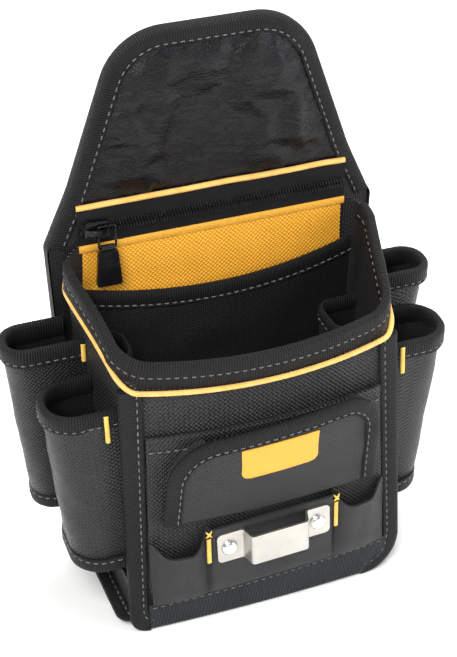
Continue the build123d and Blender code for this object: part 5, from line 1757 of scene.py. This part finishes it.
@dataclass
class InnerPocket(Maker):
    """A small pocket on the inside of a gusset."""

    side: Side = Side.LEFT
    front: float = 0.0
    rear: float = 27.5
    rim_z: float = 152.0
    foot_z: float = 62.0
    reach: float = 58.5
    cloth: float = 1.6

    def ring(self, z: float) -> Array:
        """The pocket's outline at a height."""
        start_x = float(self.form.side_x(self.front, z)) - 2.5
        end_x = float(self.form.side_x(self.rear, z)) - 2.5
        path = rounded(
            [
                (start_x, self.front, 0), (self.reach, self.front, 9.0), (self.reach, self.rear, 9.0),
                (end_x, self.rear, 0)
            ],
            turns=16
        )
        path = ToolTube._even(path)
        return join(self.side.value * path[:, 0], path[:, 1], z)

    def make(self) -> None:
        """Makes the pocket and its bound edge."""
        levels = np.linspace(self.foot_z, self.rim_z - 0.5, 36)
        outer = np.stack([self.ring(z) for z in levels])
        helper = ToolTube(self.form, self.look, self.side)
        out = np.stack([helper.frame_at(row)[1] for row in outer])
        width = np.broadcast_to(travel(outer[0])[None], outer.shape[:2])
        z = outer[..., 2]
        swell = 0.4 * ripple(width, z, 30.0, 120 + self.side.value)
        edge = np.clip(np.minimum(width, width[:, -1:] - width) / 8.0, 0, 1)
        outer = outer + out * (swell * edge)[..., None]
        mesh = MeshBuilder(f"inner_pocket_cloth_{self.side.word}")
        mesh.slab(outer, outer - out * self.cloth, join(width, z))
        ring = outer[0]
        wall = ring.copy()
        wall[:, 0] = self.side.value * (self.form.side_x(ring[:, 1], ring[:, 2]) - 2.5)
        mesh.grid(lerp(ring[None], wall[None], np.linspace(0.0, 1.0, 6)[:, None, None]))
        self.settle(mesh.build(self.look.lining), "lining", f"inner_pocket_{self.side.word}")
        spine = resample(self.ring(self.rim_z + 0.8), 110)
        down, out = helper.frame_at(spine)
        spine = spine - out * 0.5 * self.cloth
        mesh = MeshBuilder(f"inner_rim_tape_{self.side.word}")
        mesh.sweep(spine, down, out, fold_profile(9.0, self.cloth, 0.85, 9.0, 7.0))
        self.bind(mesh, f"inner_rim_{self.side.word}")
        self.sew(
            f"inner_stitches_{self.side.word}", [(spine + down * 7.0 + out * (0.5 * self.cloth + 0.6), out)]
        )


# ------------------------------------------------------------------ pockets on the front
@dataclass
class FrontPockets(Maker):
    """Wide pocket, arched pocket, label, pleated strip, tacks and steel clip."""

    wide_foot_z: float = 26.0
    wide_top_z: float = 130.0
    arch_foot_z: float = 74.5
    arch_top: Pair = (127.0, 136.0)
    arch_x: Pair = (-62.0, 65.5)
    arch_r: Pair = (31.0, 23.0)
    arch_stand: Pair = (5.2, 10.2)
    taper: float = 5.0
    strip_top_z: float = 69.5
    strip_rise: float = 0.045
    strip_face_y: float = -57.6
    foot_z: Pair = (18.5, 24.5)
    tack_x: float = 38.0
    tack_stand: float = 7.6

    def wide(self) -> None:
        """Makes the wide flat pocket with its hemmed top."""
        form = self.form
        z = np.linspace(self.wide_foot_z, self.wide_top_z, 70)[:, None]
        half = lerp(72.5, 66.0, z / form.rim_z) - 0.4
        x = half * np.linspace(-1.0, 1.0, 110)[None]
        z = z + 0 * x
        stand = lerp(
            0.3, 1.0, (z - 26.0) / 104.0
        ) + 1.4 + 0.25 * ripple(x, z, 34.0, 131) * (1 - (x / half) ** 4)
        mesh = MeshBuilder("wide_pocket_cloth")
        mesh.slab(form.front(x, z, stand), form.front(x, z, stand - 1.2), join(x, z))
        top = self.wide_top_z
        xs = np.linspace(-67.4, 67.4, 110)
        spine = form.front(xs, np.full(110, top), 1.75)
        out = form.front_normals(xs, np.full(110, top))
        side = facing(DOWN, spine)
        hem = np.array([
            (-0.3, -1.0), (-0.4, 0.3), (0.2, 0.9), (1.5, 1.0), (9.5, 0.85), (10.6, 0.6), (10.8, 0.1),
            (5.0, 0.0)
        ])
        mesh.sweep(spine, side, out, hem)
        self.settle(mesh.build(self.look.nylon), "nylon", "wide_pocket")
        line = np.full(110, top - 8.6)
        self.sew("wide_stitches", [(form.front(xs, line, 2.6), form.front_normals(xs, line))])

    def arch_path(self, inset: float = 0.0, count: int = 260) -> tuple[Array, Array]:
        """The arch's edge from its left foot to its right, and its inward directions.

        Args:
            inset: How far inside the edge.
            count: How many points.

        Returns:
            Points (x, z), and unit vectors into the arch.
        """
        corners = [
            (self.arch_x[0], self.arch_foot_z, 0.0),
            (self.arch_x[0] + self.taper, self.arch_top[0], self.arch_r[0]),
            (self.arch_x[1], self.arch_top[1], self.arch_r[1]),
            (self.arch_x[1] - 1.5, self.arch_foot_z, 0.0),
        ]
        path = resample(rounded(corners, turns=26), count)
        tangents = unit(np.gradient(path, axis=0))
        inward = join(tangents[:, 1], -tangents[:, 0])
        return path + inward * inset, inward

    def stand(self, z: Array) -> Array:
        """How far the arched pocket's face stands before the front."""
        return lerp(*self.arch_stand, (z - self.arch_foot_z) / (self.arch_top[1] - self.arch_foot_z))

    def arch(self) -> None:
        """Makes the arched pocket, its edge tape and stitches."""
        form = self.form
        edge, _ = self.arch_path(1.3, 241)
        cols = 121
        u = np.linspace(0.0, 1.0, cols)
        xs = lerp(edge[0, 0], edge[-1, 0], u)
        top = np.interp(xs, edge[:, 0], edge[:, 1])
        rise = shares(60)
        z = lerp(self.arch_foot_z + 0.2, top[None], rise)
        x = xs[None] + 0 * z
        face = self.stand(z) + 0.35 * ripple(x, z, 30.0, 141) * np.clip(
            np.minimum(rise, 1 - rise) * 5, 0, 1
        )
        mesh = MeshBuilder("arch_pocket_cloth")
        mesh.slab(form.front(x, z, face), form.front(x, z, face - 1.5), join(x, z))
        for points in (edge[:70], edge[-76:]):
            z_edge = points[:, 1]
            steps = shares(7)
            stand = lerp(self.stand(z_edge)[None] - 0.5, 2.4, steps)
            pinch = points[None, :, 0] + np.sign(points[None, :, 0]) * -1.6 * np.sin(math.pi * steps)
            mesh.grid(form.front(pinch, z_edge[None] + 0 * steps, stand), finish=1)
        self.settle(mesh.build(self.look.grey, self.look.lining), "grey_cloth", "arch_pocket")
        path, inward = self.arch_path()
        spine = form.front(path[:, 0], path[:, 1], self.stand(path[:, 1]) - 0.8)
        out = form.front_normals(path[:, 0], path[:, 1])
        side = join(inward[:, 0], 0.0, inward[:, 1])
        side = unit(side - out * np.sum(side * out, axis=1, keepdims=True))
        profile = fold_profile(9.5, 1.6, 1.15, 6.0, 7.9)
        run = travel(spine)
        shape = np.repeat(profile[None], len(spine), axis=0)
        shape[..., 1] *= (1.0 + 0.08 * ripple(run, 0.0, 20.0, 143))[:, None]
        mesh = MeshBuilder("arch_binding_tape")
        mesh.sweep(spine, side, out, shape)
        self.bind(mesh, "arch_binding")
        self.sew("arch_stitches", [(spine + side * 7.9 + out * 1.72, out)])

    def label(self) -> None:
        """Makes the bare woven label, rounded at its lower corners."""
        form = self.form
        wide, high, mid_x, mid_z = 44.0, 20.5, 3.5, 109.5
        rows, cols = 24, 48
        t = np.linspace(-1.0, 1.0, cols)[None]
        z = np.linspace(mid_z - high / 2, mid_z + high / 2, rows)[:, None]
        drop = np.clip(5.0 - (z - (mid_z - high / 2)), 0.0, 5.0)
        half = wide / 2 - (5.0 - np.sqrt(25.0 - drop**2)) + 0.7 * np.abs(z - mid_z) / high
        x = mid_x + half * t
        z = z + 0 * x + 0.8 * t * np.ones_like(z)
        curl = 0.25 * ripple(x, z, 22.0, 145)
        stand = self.stand(z) + 0.95 + 0.2 * curl
        edge = np.maximum(np.abs(t), 2 * np.abs(z - 0.8 * t - mid_z) / high)
        stand = stand - 0.35 * np.clip((edge - 0.93) / 0.07, 0, 1) + 0.12 * (np.abs(edge - 0.86) < 0.035)
        mesh = MeshBuilder("label_cloth_patch")
        mesh.slab(form.front(x, z, stand), form.front(x, z, stand - 0.6), join(x, z))
        self.settle(mesh.build(self.look.label), "accent_label", "label")

    def strip_top(self, x):
        """Height of the strip's upper edge, a little higher on the right."""
        return self.strip_top_z + self.strip_rise * x

    def strip_stand(self, x: Array, z: Array) -> Array:
        """How far the pleated strip stands before the front at a place."""
        form = self.form
        flat = form.front_depth(x, z) - self.strip_face_y
        share = np.clip((np.abs(x) - self.tack_x) / (69.0 - self.tack_x), 0.0, 1.0)
        rise = np.sin(math.pi * share ** 0.85) ** 0.75
        crest = lerp(6.5, 11.0, (z - 15.0) / 61.0)
        pleat = lerp(3.6, crest, rise)
        fold = np.clip((np.abs(x) - (self.tack_x - 2.5)) / 2.5, 0.0, 1.0)
        fold = fold * fold * (3 - 2 * fold)
        return np.where(np.abs(x) < self.tack_x, lerp(flat, 3.6, fold), pleat)

    def strip(self) -> None:
        """Makes the strip of small pockets across the foot of the front."""
        form = self.form
        xs = np.unique(
            np.concatenate([
                np.linspace(-70, 70, 150), self.tack_x * np.array([-1, 1]) + 0.01,
                np.linspace(34.5, 40, 14), -np.linspace(34.5, 40, 14)
            ])
        )
        foot = np.interp(xs, SHOE_ENDS_X, self.foot_z)
        scoop = np.where(xs < 0, 53.0, 60.0)
        share = np.clip(np.abs(np.abs(xs) - 53.6) / 15.2, 0.0, 1.0)
        bowl = np.clip((share - 0.35) / 0.65, 0.0, 1.0) ** 2.4
        side_top = lerp(scoop, self.strip_top(xs), bowl)
        top = np.where(np.abs(xs) < self.tack_x, self.strip_top(xs), side_top)
        top = top - np.where(np.abs(xs) > 66.0, (np.abs(xs) - 66.0) * 1.2, 0.0)
        rise = shares(44)
        z = lerp(foot[None], top[None], rise)
        x = xs[None] + 0 * z
        tuck = np.clip((z - foot[None]) / 12.0, 0.0, 1.0)
        wave = 0.4 * ripple(x, z, 17.0, 151) * (
            np.abs(x) > self.tack_x + 1
        ) + 0.15 * ripple(x, z, 24.0, 153)
        stand = lerp(2.6, 0.0, tuck) + self.strip_stand(x, z) * tuck ** 0.35 + wave * np.clip(rise * 4, 0, 1)
        stand = np.maximum(stand, 2.6)
        outer, inner = form.front(x, z, stand), form.front(x, z, stand - 1.5)
        uv = join(travel(outer[20])[None], z)
        mesh = MeshBuilder("strip_pocket_cloth")
        mesh.slab(outer, inner, uv)
        self.settle(mesh.build(self.look.grey), "grey_cloth", "strip_pockets")
        mid = np.linspace(-35.0, 35.0, 60)
        spine = join(mid, self.strip_face_y + 0.75, self.strip_top(mid) + 0.2)
        side = facing(DOWN, spine)
        out = facing(AHEAD, spine)
        mesh = MeshBuilder("strip_hem")
        mesh.sweep(spine, side, out, fold_profile(7.0, 1.5, 0.22, 7.0, 5.6))
        self.settle(mesh.build(self.look.grey), "grey_cloth")

    def tacks(self) -> None:
        """Makes the gold bar tacks, thread by thread."""
        form = self.form
        mesh = MeshBuilder("bar_tack_threads")
        for sign in (-1, 1):
            x = sign * self.tack_x
            top = float(self.strip_top(x))
            for z in np.arange(top - 22.0, top - 5.5, 0.62):
                line = np.linspace([x - 1.4, 0, z - 0.1], [x + 1.4, 0, z + 0.25], 8)
                path = form.front(line[:, 0], line[:, 2], self.tack_stand)
                mesh.stitches(path, facing(AHEAD, path), 2.6, 0.05, 0.45)
            for tilt in (-1, 1):
                line = np.linspace([x - 2.2 * tilt, 0, top - 4.8], [x + 2.2 * tilt, 0, top + 0.6], 10)
                path = form.front(line[:, 0], line[:, 2], self.tack_stand + 0.4)
                mesh.stitches(path, facing(AHEAD, path), 5.6, 0.1, 0.6)
        for row, side in TUBES:
            rim_z, height = TUBES[row, side][1], TUBE_TACKS[row]
            helper = ToolTube(form, self.look, side, row)
            for z in np.arange(rim_z - height, rim_z, 0.62):
                y = float(helper.edges(np.array(z))[0]) - 1.9
                line = np.linspace([side.value * 84.0, y, z - 0.1], [side.value * 86.8, y, z + 0.25], 8)
                mesh.stitches(line, facing(AHEAD, line), 2.7, 0.05, 0.45)
        self.settle(mesh.build(self.look.gold_thread), "accent_thread", "bar_tacks")

    def make(self) -> None:
        """Makes everything on the front."""
        self.wide()
        self.arch()
        self.label()
        self.strip()
        self.tacks()
        dress("tape_clip", self.look.steel)
        dress("rivets", self.look.rivet)


def dress(node: str, finish: bpy.types.Material) -> None:
    """Gives a carried-over CAD node its finish.

    Args:
        node: The node's name.
        finish: Its material.
    """
    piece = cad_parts[node]
    for slot in piece.material_slots:
        slot.material = finish
    if not piece.material_slots:
        piece.data.materials.append(finish)
    log.info("%s keeps its CAD shape", node)


# ------------------------------------------------------------------ studio
@dataclass
class Studio:
    """Floor, lights and camera."""

    camera_at: Triple = (-243.6, -637.9, 637.8)
    azimuth: float = 20.5
    elevation: float = 35.2
    focal_px: float = 1526.9

    def floor(self) -> None:
        """Lays a large pale floor under the white surround."""
        mesh = MeshBuilder("studio_floor")
        side = np.linspace(-3000.0, 3000.0, 3)
        x, y = np.meshgrid(side, side)
        mesh.grid(join(x, y, 0.0))
        g = Graph("floor_white")
        grain = g.noise(g.place(), 400.0, 2.0)
        g.sockets(
            Base_Color=g.tint(g.span(grain, 0.3, 0.7), (0.97, 0.97, 0.97), (0.99, 0.99, 0.99)),
            Roughness=0.9
        )
        mesh.build(g.material)

    def lamp(
        self, name: str, place: Triple, size: float, power: float, tone: Sequence[float] = (1.0, 1.0, 1.0)
    ) -> None:
        """Hangs a soft square light aimed at the pouch.

        Args:
            name: Its name.
            place: Where it hangs, in metres.
            size: Its side, in metres.
            power: Its power, in watts.
            tone: Its colour.
        """
        data = bpy.data.lights.new(name, "AREA")
        data.shape = "SQUARE"
        data.size = size
        data.energy = power
        data.color = tone
        light = bpy.data.objects.new(name, data)
        light.location = place
        light.rotation_euler = (
            Vector((0.0, 0.0, 0.15)) - Vector(place)
        ).to_track_quat("-Z", "Y").to_euler()
        bpy.context.scene.collection.objects.link(light)

    def world(self) -> None:
        """Sets an even white surround."""
        world = bpy.data.worlds.new("studio_world")
        world.use_nodes = True
        tree = world.node_tree
        tree.nodes.clear()
        out = tree.nodes.new("ShaderNodeOutputWorld")
        mix = tree.nodes.new("ShaderNodeMixShader")
        seen = tree.nodes.new("ShaderNodeLightPath")
        soft = tree.nodes.new("ShaderNodeBackground")
        white = tree.nodes.new("ShaderNodeBackground")
        soft.inputs["Color"].default_value = (0.9, 0.92, 0.95, 1.0)
        soft.inputs["Strength"].default_value = 0.42
        white.inputs["Strength"].default_value = 1.0
        tree.links.new(seen.outputs["Is Camera Ray"], mix.inputs[0])
        tree.links.new(soft.outputs[0], mix.inputs[1])
        tree.links.new(white.outputs[0], mix.inputs[2])
        tree.links.new(mix.outputs[0], out.inputs["Surface"])
        bpy.context.scene.world = world

    def camera(self) -> None:
        """Puts the camera where the photograph was taken from."""
        data = bpy.data.cameras.new("photo_camera")
        data.sensor_width = 36.0
        data.lens = self.focal_px * 36.0 / max(PICTURE)
        data.clip_start, data.clip_end = 0.05, 20.0
        camera = bpy.data.objects.new("photo_camera", data)
        az, el = math.radians(self.azimuth), math.radians(self.elevation)
        ahead = Vector((math.sin(az) * math.cos(el), math.cos(az) * math.cos(el), -math.sin(el)))
        camera.location = Vector(self.camera_at) * MM
        camera.rotation_euler = ahead.to_track_quat("-Z", "Y").to_euler()
        bpy.context.scene.collection.objects.link(camera)
        bpy.context.scene.camera = camera

    def make(self) -> None:
        """Sets up the whole studio."""
        bpy.context.scene.view_settings.view_transform = "Standard"
        self.floor()
        self.world()
        self.lamp("key_light", (-0.75, -0.9, 1.5), 0.9, 34.0, (1.0, 0.985, 0.96))
        self.lamp("top_light", (0.35, 0.55, 1.8), 1.0, 36.0)
        self.lamp("fill_light", (1.3, -1.0, 0.7), 1.0, 12.0, (0.95, 0.97, 1.0))
        self.camera()


def main() -> None:
    """Builds the studio and every sub-assembly."""
    logging.basicConfig(level=logging.INFO, format="%(message)s")
    Studio().make()
    form, look = BagForm(), Finishes()
    Bag(form, look).make()
    BackPanel(form, look).make()
    BackWall(form, look).make()
    for (row, side), sizes in TUBES.items():
        ToolTube(form, look, side, row, *sizes).make()
    InnerPocket(form, look, Side.LEFT).make()
    InnerPocket(form, look, Side.RIGHT, -4.0, 27.5, 142.0).make()
    FrontPockets(form, look).make()


if __name__ == "__main__":
    main()
